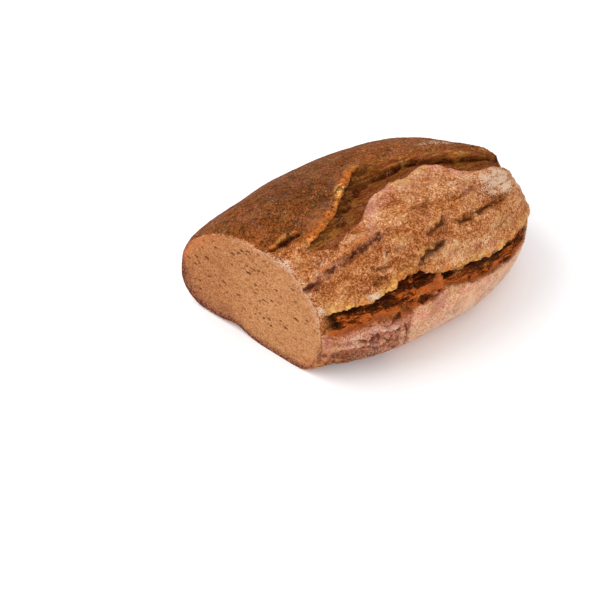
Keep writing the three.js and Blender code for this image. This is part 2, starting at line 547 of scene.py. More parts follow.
@dataclass(frozen=True)
class Patch:
    """A soft-edged oval patch of the crust, and how much of something it has."""

    station: float
    angle: float
    length: float
    breadth: float
    amount: float

    def over(self, stations: np.ndarray, angles: np.ndarray) -> np.ndarray:
        """How much there is at each point."""
        off = np.hypot((stations - self.station) / self.length, (angles - self.angle) / self.breadth)
        return self.amount * np.exp(-off**2)


def patches(*rows: tuple[float, ...]) -> tuple[Patch, ...]:
    """Patches from rows of station, angle, length, breadth and amount."""
    return tuple(Patch(*row) for row in rows)


RIDGE_TEAR = Tear(
    lip_line=((12, 27), (22, 24), (37, 20), (48, 16), (57, 11), (65, 4), (74, -2), (85, -11),
              (99, -13), (120, -7), (137, -1), (151, 3), (163, 5), (182, 7), (203, 7)),
    gap_line=((12, 28), (20, 27), (29, 26), (40, 23), (46, 23), (56, 17), (67, 10), (81, 5),
              (95, 2), (104, 4), (118, -1), (134, 3), (148, 7), (161, 9), (178, 12), (203, 11)),
    edge_line=((12, 29), (22, 32), (31, 35), (37, 32), (49, 29), (62, 27), (75, 19), (86, 14),
               (101, 10), (112, 11), (127, 7), (140, 11), (148, 18), (160, 22), (188, 24),
               (203, 14)),
    bright_line=((12, 0.9), (30, 1.0), (76, 1.0), (86, 0.5), (96, 0.12), (140, 0.1), (150, 0.35),
                 (185, 0.45), (203, 0.2)),
    flank_line=((12, 0.2), (24, 0.35), (40, 0.45), (57, 0.5), (68, 0.55), (78, 0.4), (90, 0.1)),
    lip=1.6,
    reach=1.3,
    depth=4.0,
    edge_drop=0.42,
    seed=11,
    gap_shade_line=((12, 0.0), (30, 0.05), (44, 0.4), (54, 1.2), (66, 1.3), (76, 1.1), (90, 1.2),
               (110, 1.3), (203, 1.3)),
    ridged_from=88.0,
    shallow_to=56.0,
)
SIDE_TEAR = Tear(
    lip_line=((0, 67), (10, 64), (28, 64), (43, 62), (58, 60), (69, 57), (82, 58),
              (93, 59), (104, 63), (125, 64), (137, 65), (150, 67), (165, 68), (172, 66),
              (191, 70), (208, 72)),
    gap_line=((0, 70), (20, 68), (43, 65), (60, 63), (70, 60), (85, 61), (97, 62),
              (106, 67), (125, 67), (150, 70), (172, 70), (191, 74), (208, 76)),
    edge_line=((0, 82), (11, 84), (25, 80), (35, 77), (50, 78), (68, 79), (78, 76),
               (92, 73), (103, 72), (116, 75), (137, 80), (153, 81), (173, 87), (190, 93),
               (208, 84)),
    bright_line=((2, 0.2), (6, 0.9), (27, 0.9), (32, 0.2), (42, 0.3), (47, 1.0),
                 (72, 1.0), (80, 0.6), (94, 0.35), (106, 0.9), (165, 1.0), (176, 0.4), (208, 0.3)),
    lip=1.8,
    reach=1.8,
    depth=6.0,
    seed=23,
    flank_line=((0, 0.0), (98, 0.0), (112, 0.4), (208, 0.4)),
    bridges=((36, 0.5), (66, 0.35), (79, 0.6), (100, 0.9), (142, 0.4), (170, 0.6)),
    edge_drop=0.45,
    gap_shade_line=((2, 0.4), (9, 1.0), (27, 1.0), (33, 0.3), (42, 0.4), (47, 1.2), (76, 1.2), (80, 0.5),
               (86, 1.2), (96, 1.0), (100, 0.4), (105, 1.2), (185, 1.3), (208, 0.9)),
)
# Where the back's calm crust gives way to the rough plate.
BACK_TO_PLATE: Line = ((0, 18), (14, 21), (20, 27), (29, 26), (46, 23), (56, 17), (67, 10),
                       (81, 5), (104, 4), (118, -1), (134, 3), (161, 9), (203, 11))
# The narrow cracks and creases, each along its corners, with its width and depth in millimetres.
CRACKS = (
    Crack(((0, 19), (9, 18), (17, 17), (24, 17)), 2.1, 3.6, lip=0.4, torn=0.9, dark=1.1, shine=0.9),
    Crack(((-3, 49), (1, 48.5), (8, 46), (23, 42), (47, 39), (74, 36.5)), 2.4, 1.7, lip=1.2,
          ragged=1.3, dark=0.4, shine=0.5, damp=0.3),
    Crack(((-3, 48), (2, 47.5), (10, 45)), 2.2, 1.7, dark=0.75, ragged=1.3, damp=0.7),
    Crack(((14, 43.5), (20, 42.5), (27, 41)), 2.0, 1.8, dark=0.7, ragged=1.5, damp=0.7),
    Crack(((33, 40.5), (45, 39.3), (60, 38), (74, 36.5)), 1.4, 1.6, lip=0.4, dark=0.65, ragged=1.5,
          damp=0.8),
    Crack(((76, 6), (80, 4.5), (89, 3)), 1.7, 1.2, dark=1.2, ragged=1.2),
    Crack(((67, 10.5), (72, 8.5), (80, 7)), 2.0, 1.2, dark=1.2, ragged=1.2),
    Crack(((56, 18), (61, 15.5), (69, 14)), 2.0, 1.2, dark=1.2, ragged=1.2),
    Crack(((44, 25), (49, 22.5), (57, 21)), 2.0, 1.2, dark=1.2, ragged=1.2),
    Crack(((91, 2.5), (101, 2), (114, 1)), 1.5, 1.0, dark=0.8, ragged=1.4),
    Crack(((40, 82), (52, 80), (67, 77), (78, 73), (93, 74), (106, 71)), 1.7, 3.2, lip=1.0, torn=0.7,
          dark=0.9, ragged=1.4, shine=0.25),
    Crack(((84, 56), (93, 52), (102, 52), (112, 50)), 1.5, 3.2, lip=1.4, torn=0.5, dark=0.75,
          ragged=1.4, shine=0.25),
    Crack(((97, 44), (106, 44), (118, 41)), 1.4, 2.9, lip=1.1, torn=0.5, dark=0.65, ragged=1.4,
          shine=0.15),
    Crack(((118, 45), (130, 45), (137, 45), (144, 44), (152, 44), (166, 43), (178, 46)), 1.3, 3.0,
          lip=1.2, torn=0.5, dark=0.7, ragged=1.8, shine=0.15),
    Crack(((68, 82), (73, 90), (74, 99), (77, 108)), 1.0, 1.6, lip=1.0, torn=0.1, dark=0.6),
    Crack(((6, 99), (22, 95), (40, 97), (58, 94), (70, 96)), 1.1, 1.8, lip=0.5, torn=0.1, dark=0.8,
          ragged=1.5),
    Crack(((10, 106), (24, 104), (38, 108), (50, 105)), 0.8, 1.2, lip=0.3, torn=0.1, dark=0.8,
          ragged=1.6),
    Crack(((3, 113), (12, 112), (24, 108), (27, 113)), 0.8, 1.2, lip=0.2, torn=0.1, dark=1.0,
          ragged=1.2),
    Crack(((20, 88), (30, 91), (44, 88)), 1.6, 2.2, lip=0.5, torn=0.2, dark=0.9, ragged=1.5),
    Crack(((50, 86), (58, 87), (64, 85)), 1.5, 2.2, lip=0.5, torn=0.2, dark=0.9, ragged=1.5),
    Crack(((60, 46), (70, 45), (80, 47)), 1.2, 1.6, lip=0.9, dark=0.35, ragged=1.6),
    Crack(((44, 50), (56, 51), (66, 49)), 1.1, 1.5, lip=0.8, dark=0.35, ragged=1.6),
    Crack(((96, 30), (107, 31), (118, 28)), 1.1, 1.4, lip=0.8, dark=0.35, ragged=1.6),
    Crack(((150, 56), (160, 57), (171, 55)), 1.1, 1.4, lip=0.8, dark=0.3, ragged=1.6),
    Crack(((126, 33), (140, 34), (150, 32)), 1.1, 1.3, lip=0.8, dark=0.3, ragged=1.6),
    Crack(((40, 57), (50, 55), (57, 56)), 1.0, 1.4, lip=0.7, dark=0.35, ragged=1.6),
    Crack(((30, -34), (52, -30), (70, -33), (92, -28)), 0.8, 0.7, lip=0.2, dark=0.3, ragged=1.6),
    Crack(((120, -62), (138, -58), (160, -61)), 0.8, 0.8, lip=0.2, dark=0.4, ragged=1.6),
    Crack(((58, -84), (84, -88), (104, -85), (128, -90)), 1.0, 1.1, lip=0.4, dark=0.4, ragged=1.6),
    Crack(((150, -30), (166, -26), (186, -28)), 0.8, 0.7, lip=0.2, dark=0.3, ragged=1.6),
)
# How much flour lies on the crust.
FLOURED = patches(
    (175, 34, 20, 9, 1.1), (196, 40, 12, 16, 0.6), (140, 25, 30, 7, 0.3), (100, 22, 26, 6, 0.15),
    (36, 62, 8, 2.0, 0.85), (2, 64, 3, 4, 0.6), (0, 50, 3, 9, 0.6), (0, 30, 3, 12, 0.7),
    (14, 38, 12, 8, 0.35), (110, 100, 60, 16, 0.7), (165, 98, 60, 16, 0.7), (30, 92, 30, 4, 0.55),
    (165, -16, 40, 8, 0.35), (200, 56, 12, 26, 0.3), (90, -112, 120, 14, 0.5),
    (40, 106, 40, 8, 0.3),
)
# How far the crust stands out of the plain shape, in millimetres.
SWOLLEN = patches(
    (4, -76, 12, 22, 2.4), (34, -58, 14, 14, -1.7), (182, -32, 11, 14, -4.4), (191, -9, 6, 8, 0.6),
    (202, 10, 5, 8, -6.0), (197, 20, 8, 8, -3.6), (200, 40, 8, 10, -2.4), (206, 62, 8, 16, -1.4),
    (72, 110, 30, 12, -1.5), (110, 106, 24, 12, -0.7), (176, 100, 26, 16, -0.3),
)
# How much darker the crust is baked, or lighter where negative.
BAKED = patches(
    (95, 21, 12, 4, 0.2), (120, 57, 34, 6, -0.16), (152, 48, 40, 14, 0.06), (20, 97, 24, 12, 0.09),
    (30, 66, 10, 4, -0.1), (52, 50, 22, 9, 0.06), (98, 36, 18, 8, 0.06), (70, 28, 10, 5, -0.12),
    (60, -20, 40, 20, 0.05), (69, 42, 12, 5, -0.15), (165, 38, 22, 10, 0.08), (36, 34, 10, 5, 0.06),
    (131, 51, 16, 8, 0.08), (120, 98, 70, 12, 0.04),
)
# Bright dough inside the long side tear.
FLAMES = patches(
    (6, 83, 6, 2.2, 0.7), (28, 79, 7, 1.6, 0.5), (47, 79, 7, 2.0, 0.8), (66, 76.5, 8, 2.4, 1.2),
    (80, 73, 5, 2.0, 0.8), (90, 70.5, 6, 1.8, 0.9), (100, 66, 2.4, 5, 1.0), (117, 69, 7, 1.6, 0.9),
    (142, 74, 6, 1.8, 0.5),
)
# How high the cut's base stands off the surface across the loaf, in millimetres.
SEAM: Line = ((-14, 0), (-9, 0.8), (-2, 2.5), (4, 5.4), (9, 6.0), (13, 4.8), (17, 3.2), (24, 2.5),
              (60, 2.6))


@dataclass
class Zones:
    """Where the crust's zones lie on the skin: shares from 0 to 1, except as noted."""

    s: np.ndarray  # the station of every point
    flat: np.ndarray  # the grid unrolled flat, in millimetres
    lower: np.ndarray  # the side tear's lower edge, in degrees
    upper: np.ndarray  # the ridge tear's lower edge, in degrees
    shake: np.ndarray  # what shakes the zones' borders, in degrees or millimetres
    back: np.ndarray
    band: np.ndarray  # under the side tear
    plate: np.ndarray  # between the two tears
    layer: np.ndarray  # the band's raised far layer
    step: np.ndarray  # the step up to that layer
    crossed: np.ndarray  # the band's farther, lower layer
    edge: np.ndarray  # the plate's smooth upper edge
    drift: np.ndarray  # how the flour drifts, around 1


@dataclass
class CrustSkin:
    """The crust: rings of points strung round the loaf, its tears and cracks worked in."""

    MM_PER_DEGREE = 1.2  # round the crust, on average

    form: LoafForm = field(default_factory=LoafForm)
    tears: tuple[Tear, Tear] = (RIDGE_TEAR, SIDE_TEAR)
    ring_gap: float = 1.15
    tip_rings: int = 46
    tip_from: float = 160.0  # station where the rings begin to crowd towards the heel
    back_steps: int = 84
    plate_steps: int = 62
    front_steps: int = 40
    base_steps: int = 22
    base_angle: float = 123.0  # what the flat base counts as
    seed: int = 5

    def __post_init__(self) -> None:
        """Lay the rings and columns out and work the relief."""
        even = np.linspace(0.0, self.tip_from, round(self.tip_from / self.ring_gap) + 1)
        turn = np.linspace(0.0, math.pi / 2, self.tip_rings + 1)[1:-1]
        far = self.tip_from + (self.form.length - self.tip_from) * np.sin(turn)
        self.stations = np.concatenate([even, far])
        self.noise = Noise(self.seed)
        self.string()
        self.shape()
        self.work()

    def string(self) -> None:
        """Set every column's angle, stand and masks at every ring."""
        s = self.stations
        angles, reaches = self.form.outlines(s)
        self.outline_angles, self.outline_reaches = angles, reaches
        ridge, side = self.tears
        knots = [Knot(angles[:, 0], s * 0, 0)]
        for tear, before in ((ridge, self.back_steps), (side, self.plate_steps)):
            lip = along(tear.lip_line, s)
            reach = np.array([np.interp(a, x, y) for a, x, y in zip(lip, angles, reaches)])
            per_mm = np.degrees(1.0 / np.maximum(reach, 45.0))
            knots += tear.knots(s, per_mm, before)
        knots.append(Knot(angles[:, -1], s * 0, self.front_steps))
        names = ("angle", "stand", "torn", "lip", "deep", "rise")
        values = {n: np.stack([np.broadcast_to(getattr(k, n), s.shape) for k in knots]) for n in names}
        steps = [k.steps for k in knots[1:]]
        strung = {n: self.between(v, steps, n in ("angle", "stand")) for n, v in values.items()}
        self.angle, self.stand = strung["angle"], strung["stand"]
        self.masks = {m: np.zeros_like(self.angle) for m in Mask}
        for mask in (Mask.TORN, Mask.LIP, Mask.CREVICE_SHADE, Mask.RISE):
            self.masks[mask] = strung[mask.value]

    @staticmethod
    def between(values: np.ndarray, steps: Sequence[int], rounded: bool) -> np.ndarray:
        """Fill in the columns between knots.

        Args:
            values: One row for each knot and one column for each ring.
            steps: How many columns lie from each knot to the next.
            rounded: Whether to round the knots off, without overshooting them.

        Returns:
            One row for each ring and one column for each column of the skin.
        """
        slopes = np.diff(values, axis=0) / np.array(steps)[:, None]
        before, after = slopes[:-1], slopes[1:]
        same = before * after > 0.0
        level = 2.0 * before * after / np.where(same, before + after, 1.0)
        turn = np.vstack([slopes[:1], np.where(same, level, 0.0), slopes[-1:]])
        columns = []
        for i, count in enumerate(steps):
            for t in np.arange(count) / count:
                straight = values[i] + (values[i + 1] - values[i]) * t
                start, end = (turn[i] - slopes[i]) * count, (turn[i + 1] - slopes[i]) * count
                bend = t * (1.0 - t) * ((1.0 - t) * start - t * end)
                columns.append(straight + bend * rounded)
        columns.append(values[-1])
        return np.stack(columns, 1)

    def shape(self) -> None:
        """Place every point of the skin, with the flat base closing each ring."""
        s = self.stations
        reach = np.stack([
            np.interp(a, x, y)
            for a, x, y in zip(self.angle, self.outline_angles, self.outline_reaches)
        ])
        out = reach + self.stand
        axis = self.form.axis(s)[:, None]
        turn = np.radians(self.angle)
        across, up = -out * np.sin(turn), axis + out * np.cos(turn)
        up = np.maximum(up, 0.0)
        ends = across[:, -1:], across[:, :1]
        t = np.linspace(0.0, 1.0, self.base_steps + 1)[None, 1:-1]
        base = ends[0] + (ends[1] - ends[0]) * t
        across = np.hstack([across, base])
        up = np.hstack([up, np.zeros_like(base)])
        raised = np.interp(across, *np.array(SEAM).T) * (1.0 - smooth(s / 34.0))[:, None]
        up += raised * (1.0 - smooth(up / 24.0))
        x = s[:, None] + self.form.lean(s)[:, None] * across
        self.points = np.stack([x, across, up + self.form.lift(s)[:, None]], -1)
        extra = base.shape[1]
        self.angle = np.hstack([self.angle, np.full_like(base, self.base_angle)])
        for mask, values in self.masks.items():
            self.masks[mask] = np.hstack([values, np.zeros((len(s), extra))])
        self.relief = np.zeros(self.angle.shape)
        self.on_base = np.zeros(self.angle.shape)
        self.on_base[:, -extra:] = 1.0

    def put(self, mask: Mask, values: np.ndarray) -> None:
        """Raise a mask to the given values where they are higher."""
        self.masks[mask] = np.maximum(self.masks[mask], values)

    def normals(self) -> np.ndarray:
        """The outward direction at every point of the skin."""
        p = self.points
        lengthwise = np.gradient(p, axis=0)
        around = np.roll(p, -1, axis=1) - np.roll(p, 1, axis=1)
        normal = np.cross(around, lengthwise)
        size = np.linalg.norm(normal, axis=-1, keepdims=True)
        return normal / np.maximum(size, 1e-9)

    def work(self) -> None:
        """Press the cracks in, set the masks of colour and flour, and raise the relief.

        Each pattern reads the noise at a distance of its own, so no two of them agree.
        """
        s = np.broadcast_to(self.stations[:, None], self.angle.shape)
        flat = np.stack([s, self.angle * self.MM_PER_DEGREE, s * 0.0], -1)
        for crack in CRACKS:
            crack.press(flat, self.noise, self)
        zones = self.zones(s, flat)
        self.bake(zones)
        self.colour_tears(zones)
        self.colour_band(zones)
        self.colour_ends(zones)
        self.roughen(zones)
        self.raise_relief()

    def zones(self, s: np.ndarray, flat: np.ndarray) -> Zones:
        """Part the crust into zones, with shaken borders.

        Args:
            s: The station of every point.
            flat: The skin's grid unrolled flat, in millimetres.

        Returns:
            The zones.
        """
        border = along(BACK_TO_PLATE, self.stations)[:, None]
        lower = along(self.tears[1].edge_line, self.stations)[:, None]
        upper = along(self.tears[0].edge_line, self.stations)[:, None]
        n, a = self.noise, self.angle
        shake = 2.0 * n.layers(self.points + 500.0, 9.0, 3)
        on_back = smooth((border - a + shake) / 4.0 + 0.5)
        on_band = smooth((a - lower + shake) / 5.0 + 0.5)
        plate = (1.0 - on_back) * (1.0 - on_band)
        slant = 0.25 * (a - 95.0)
        edge = smooth((upper + 13.0 + 3.0 * shake - a) / 8.0) * past(s, 58.0, 14.0)
        drift = n.layers(flat * (0.4, 1.0, 1.0) + 270.0, 4.5, 3, 0.65)
        return Zones(
            s=s, flat=flat, lower=lower, upper=upper, shake=shake, back=on_back, band=on_band,
            plate=plate, layer=smooth((s - 70.0 + slant + shake) / 3.0),
            step=bell(s - 71.5 + slant + shake, 1.6) * on_band,
            crossed=smooth((s - 105.0 + 0.7 * (a - 96.0) + shake) / 2.5) * on_band,
            edge=edge * (plate * until(s, 158.0, 10.0)),
            drift=np.clip(1.0 + 1.1 * drift, 0.1, 1.6),
        )

    def bake(self, z: Zones) -> None:
        """Bake the crust darker or paler, and leave it damp in places.

        Args:
            z: The crust's zones.
        """
        s, p, n, a = z.s, self.points, self.noise, self.angle
        ridge_top = bell(a + 22.0, 20.0) * past(s, 60.0, 50.0)
        bake = (0.88 - 0.08 * ridge_top) * z.back + z.band * (0.42 - 0.31 * z.layer)
        bake += z.plate * (0.54 - 0.07 * past(s, 50.0, 40.0) - 0.06 * past(s, 120.0, 30.0))
        bake -= (0.14 + 0.16 * n.layers(p + 640.0, 11.0, 3)) * z.edge
        self.put(Mask.DAMP, 0.75 * z.edge * smooth(0.5 + 1.6 * n.layers(p + 660.0, 13.0, 2)))
        steamed = smooth(0.5 + 1.4 * n.layers(p, 12.0, 2))
        self.put(Mask.DAMP, z.band * (0.4 + 0.5 * steamed) * (1.0 - 0.25 * z.layer))
        lip_edge = along(self.tears[0].lip_line, self.stations)[:, None]
        burnt = bell(a - lip_edge + 5.0, 3.4) * bell(s - 62.0, 24.0)
        burnt *= smooth(0.5 + 1.8 * n.layers(p + 680.0, 7.0, 2))
        self.put(Mask.DAMP, 0.8 * burnt)
        bake += 0.1 * burnt
        bake += sum(patch.over(s, a) for patch in BAKED)
        uneven = 0.14 * n.layers(p + 820.0, 9.0, 3, 0.6) + 0.05 - 0.12 * z.crossed
        bake += z.band * z.layer * uneven
        # Painted shade in a thin line along the edge of the band's farther, lower layer.
        self.put(Mask.CREVICE_SHADE, 0.3 * bell(s - 106.0 + 0.7 * (a - 96.0) + z.shake, 1.0) * z.band)
        under = smooth((np.abs(a) - 100.0) / 25.0)
        bake = bake * (1.0 - 0.3 * under * z.back)
        far = past(self.stations[:, None], 196.0, 16.0)
        self.masks[Mask.BAKE] = bake * (1.0 - far) + 0.5 * far

    def colour_tears(self, z: Zones) -> None:
        """Flour the crust but not the tears, and light the dough inside them.

        Args:
            z: The crust's zones.
        """
        s, a, torn = z.s, self.angle, self.masks[Mask.TORN]
        for patch in FLOURED:
            self.put(Mask.FLOUR, z.drift * patch.over(s, a))
        self.put(Mask.FLOUR, 0.03 * z.plate * (1.0 - torn))
        self.masks[Mask.FLOUR] *= 1.0 - 0.9 * torn
        licks = self.noise.layers(z.flat * (0.45, 1.0, 1.0) + 960.0, 2.6, 2, 0.6)
        licks = np.clip(0.75 + 1.5 * licks, 0.0, 1.4)
        glow = np.clip(torn * licks * sum(patch.over(s, a) for patch in FLAMES), 0.0, 0.9)
        self.put(Mask.LIP, 0.3 * glow)
        self.masks[Mask.CREVICE_SHADE] *= 1.0 - glow
        self.masks[Mask.RISE] *= 1.0 - 0.42 * past(s, 101.0, 8.0) * past(a, 50.0, 4.0)
        self.masks[Mask.RISE] -= 0.1 * (bell(s - 12.0, 26.0) * past(a, 56.0, 4.0))
        self.put(Mask.RIDGE, until(a, 52.0, 6.0))

    def colour_band(self, z: Zones) -> None:
        """Colour the band under the side tear: a floury strip, a dark sole, and pits and a step darkened
        with painted shade.

        Args:
            z: The crust's zones.
        """
        s, p, n, a = z.s, self.points, self.noise, self.angle
        strip = bell(a - z.lower - 5.5, 3.2) * past(s, 6.0, 8.0) * until(s, 68.0, 10.0)
        self.masks[Mask.BAKE] -= 0.34 * strip
        self.put(Mask.FLOUR, 0.6 * strip * z.drift)
        sole = past(a, 96.0, 6.0) * until(s, 72.0, 6.0) * (1.0 - self.on_base)
        self.masks[Mask.BAKE] += 0.28 * sole
        scorch = until(s, 22.0, 14.0) * past(a, 88.0, 6.0) * (1.0 - self.on_base)
        self.put(Mask.LIP, 0.45 * scorch * smooth(0.5 + 1.6 * n.layers(p + 350.0, 5.0, 2)))
        # Pits pressed into the band, darkened with painted shade.
        pit = smooth((n.at(p + 710.0, 3.4) - 0.3) / 0.14) * bell(s - 46.0, 30.0)
        pit *= bell(a - 93.0, 7.0)
        self.put(Mask.CREVICE_SHADE, pit)
        self.relief -= 2.0 * pit
        # Painted shade at the foot of the step up to the far layer.
        self.put(Mask.CREVICE_SHADE, 0.35 * z.step * (1.0 - z.layer))

    def colour_ends(self, z: Zones) -> None:
        """Stripe the swollen far part of the ridge, and pale the crust's rim at the cut.

        Args:
            z: The crust's zones.
        """
        s, a = z.s, self.angle
        swollen = past(s, 98.0, 16.0) * bell(a - 0.35 * z.upper + 6.0, 10.0)
        stripe = smooth(1.4 * self.noise.at(z.flat + 430.0, (26.0, 1.9, 5.0)) + 0.25)
        self.put(Mask.LIP, 0.6 * swollen * stripe * until(s, 205.0, 10.0))
        rim = until(s, 1.5, 1.2) * until(a, 14.0, 8.0) * past(a, -84.0, 30.0)
        self.masks[Mask.BAKE] -= 0.5 * rim * (1.0 - self.on_base)
        self.put(Mask.FLOUR, 0.25 * rim * (1.0 - self.on_base))

    def roughen(self, z: Zones) -> None:
        """Give each zone its relief, with flourier high spots, and painted highlight and shade: high
        spots paler, low ones darker.

        Args:
            z: The crust's zones.
        """
        s, flat, p, n, torn = z.s, z.flat, self.points, self.noise, self.masks[Mask.TORN]
        rough = (z.plate + z.band * (1.0 - 0.65 * z.layer)) * (1.0 - torn) + 0.22 * z.back
        fibre = n.at(flat + 70.0, (15.0, 1.9, 5.0)) + 0.7 * n.at(flat + 170.0, (7.0, 1.2, 5.0))
        streak = n.at(flat + 900.0, (40.0, 2.6, 5.0)) * bell(self.angle + 6.0, 15.0)
        streak *= past(s, 86.0, 18.0) * until(s, 206.0, 12.0)
        lumps = 0.8 - 2.2 * np.abs(n.layers(p, 7.0, 3, 0.6))
        grains = 0.6 - 2.0 * np.abs(n.at(p + 9.0, 3.0))
        flow = np.tanh(3.2 * n.layers(flat * (0.42, 1.0, 1.0) + 21.0, 9.0, 3, 0.55))
        relief = n.layers(p + 40.0, 46.0, 2) + (0.5 * z.layer - 0.8 * z.crossed) * z.band
        relief += sum(patch.over(s, self.angle) for patch in SWOLLEN)
        coarse = rough * (0.42 * lumps + 0.36 * grains + 0.8 * flow)
        relief += coarse
        # Painted highlight and shade: the crust is paler where its relief stands high and darker where
        # it dips.
        self.masks[Mask.BAKE] -= 0.17 * coarse * (1.0 - 0.5 * z.layer * z.band)
        self.masks[Mask.FLOUR] *= 1.0 + 0.4 * np.clip(coarse, -1.0, 1.0)
        self.masks[Mask.FLOUR] *= 1.0 - np.clip(self.masks[Mask.CREVICE_SHADE], 0.0, 1.0)
        relief += z.back * (0.16 * n.layers(p + 77.0, 3.2, 2) + 0.14 * grains)
        relief += torn * (fibre + 0.5 * n.layers(p + 33.0, 3.0, 2)) + 0.8 * streak
        relief += 1.4 * self.masks[Mask.LIP] * n.layers(p + 55.0, 3.2, 3, 0.7)
        self.relief += relief * (1.0 - 0.8 * self.on_base)

    def raise_relief(self) -> None:
        """Move the skin out by its relief: less at the heel, and along the cut beside it."""
        self.relief *= 1.0 - 0.7 * past(self.stations[:, None], 200.0, 11.0)
        normal = self.normals()
        cut = np.array([1.0, -self.form.cut_turn, 0.0])
        cut /= np.linalg.norm(cut)
        near = (1.0 - smooth(self.stations / 7.0))[:, None, None]
        normal = normal - near * (normal @ cut)[..., None] * cut
        self.points = self.points + normal * self.relief[..., None]
        self.points[..., 2] = np.maximum(self.points[..., 2], 0.0)

    def tip(self) -> np.ndarray:
        """The point where the heel closes."""
        return np.array([self.form.length, 0.0, float(self.form.lift(np.array([self.form.length]))[0])])


@dataclass
class CutFace:
    """The flat face the knife left: a fine even mesh inside the first ring."""

    skin: CrustSkin
    spacing: float = 0.62
    clearance: float = 0.45  # between the first ring and the points inside it
    shaken: float = 0.16  # how far points are out of line, as a share of the spacing

    def fill(self) -> tuple[np.ndarray, dict[Mask, np.ndarray], list[tuple[int, ...]]]:
        """Fill the first ring.

        Returns:
            The new points, their masks, and the triangles. A triangle's corners below the
            ring's length are the ring's own points, and the rest are new.
        """
        outline = self.skin.points[0][:, 1:3]
        inner, distance = self.scatter(outline)
        flat = [Vector(p) for p in (*outline, *inner)]
        ring = list(range(len(outline)))
        corners, _, faces, sources, _, _ = delaunay_2d_cdt(flat, [], [ring], 1, 1e-5)
        first = [int(s[0]) for s in sources]
        triangles = [tuple(first[i] for i in f) for f in faces]
        if len(corners) != len(flat):
            log.warning("the cut face's outline crosses itself: %d for %d", len(corners), len(flat))
        lean = self.skin.form.lean(np.array([0.0]))[0]
        points = np.column_stack([lean * inner[:, 0], inner])
        return points, self.masks(inner, distance), triangles

    def scatter(self, outline: np.ndarray) -> tuple[np.ndarray, np.ndarray]:
        """Scatter even points over the cut, a little out of line.

        Args:
            outline: The first ring, as seen along the loaf.

        Returns:
            The points inside the outline, and how far each is from it.
        """
        low, high = outline.min(0), outline.max(0)
        rows = np.arange(low[1], high[1], self.spacing * math.sqrt(0.75))
        inner = np.array([
            (y + (self.spacing / 2 if i % 2 else 0.0), z)
            for i, z in enumerate(rows)
            for y in np.arange(low[0], high[0], self.spacing)
        ])
        source = np.random.default_rng(self.skin.seed)
        inner += source.uniform(-self.shaken, self.shaken, inner.shape) * self.spacing
        inside = np.zeros(len(inner), bool)
        distance = np.full(len(inner), FAR)
        for (ay, az), (by, bz) in zip(outline, np.roll(outline, -1, axis=0)):
            spans = (az > inner[:, 1]) != (bz > inner[:, 1])
            if bz != az:
                at = ay + (inner[:, 1] - az) * (by - ay) / (bz - az)
                inside ^= spans & (inner[:, 0] < at)
            run = np.array([by - ay, bz - az])
            t = np.clip(((inner - (ay, az)) @ run) / max(run @ run, 1e-12), 0.0, 1.0)
            off = inner - (ay, az) - t[:, None] * run
            distance = np.minimum(distance, np.hypot(off[:, 0], off[:, 1]))
        keep = inside & (distance > self.clearance)
        return inner[keep], distance[keep]

    @staticmethod
    def masks(inner: np.ndarray, distance: np.ndarray) -> dict[Mask, np.ndarray]:
        """The crumb's masks: how near the crust is, and where its rim is toasted or floury.

        Args:
            inner: The points, across the loaf and up.
            distance: How far each is from the crust.

        Returns:
            The values of each mask that isn't 0 all over the cut.
        """
        across, up = inner.T
        low_back = past(across, -4.0, 16.0) * until(up, 44.0, 30.0)
        left = past(across, 34.0, 16.0)
        thick = 1.0 + 3.2 * low_back + 1.2 * left + 2.6 * until(up, 10.0, 6.0)
        corner = smooth((-across - 38.0) / 8.0) * until(up, 26.0, 14.0)
        back_top = past(across, 4.0, 30.0) * past(up, 24.0, 20.0)
        fuzz = np.exp(-distance / 1.7) * until(across, 12.0, 20.0) * past(up, 36.0, 16.0)
        return {
            Mask.CRUMB: np.ones(len(inner)),
            Mask.BAKE: np.full(len(inner), 0.8),
            Mask.RIM: distance / thick * (1.0 + 3.0 * past(up, 30.0, 18.0)),
            Mask.LIP: np.exp(-distance / 3.4) * np.maximum(back_top, corner),
            Mask.FLOUR: fuzz,
        }


def tone(colour: Colour) -> tuple[float, float, float, float]:
    """A display colour, 0 to 255, as the linear colour that a shader takes."""
    def linear(value: int) -> float:
        """One channel."""
        share = value / 255
        return share / 12.92 if share <= 0.04045 else ((share + 0.055) / 1.055) ** 2.4

    red, green, blue = (linear(value) for value in colour)
    return red, green, blue, 1.0


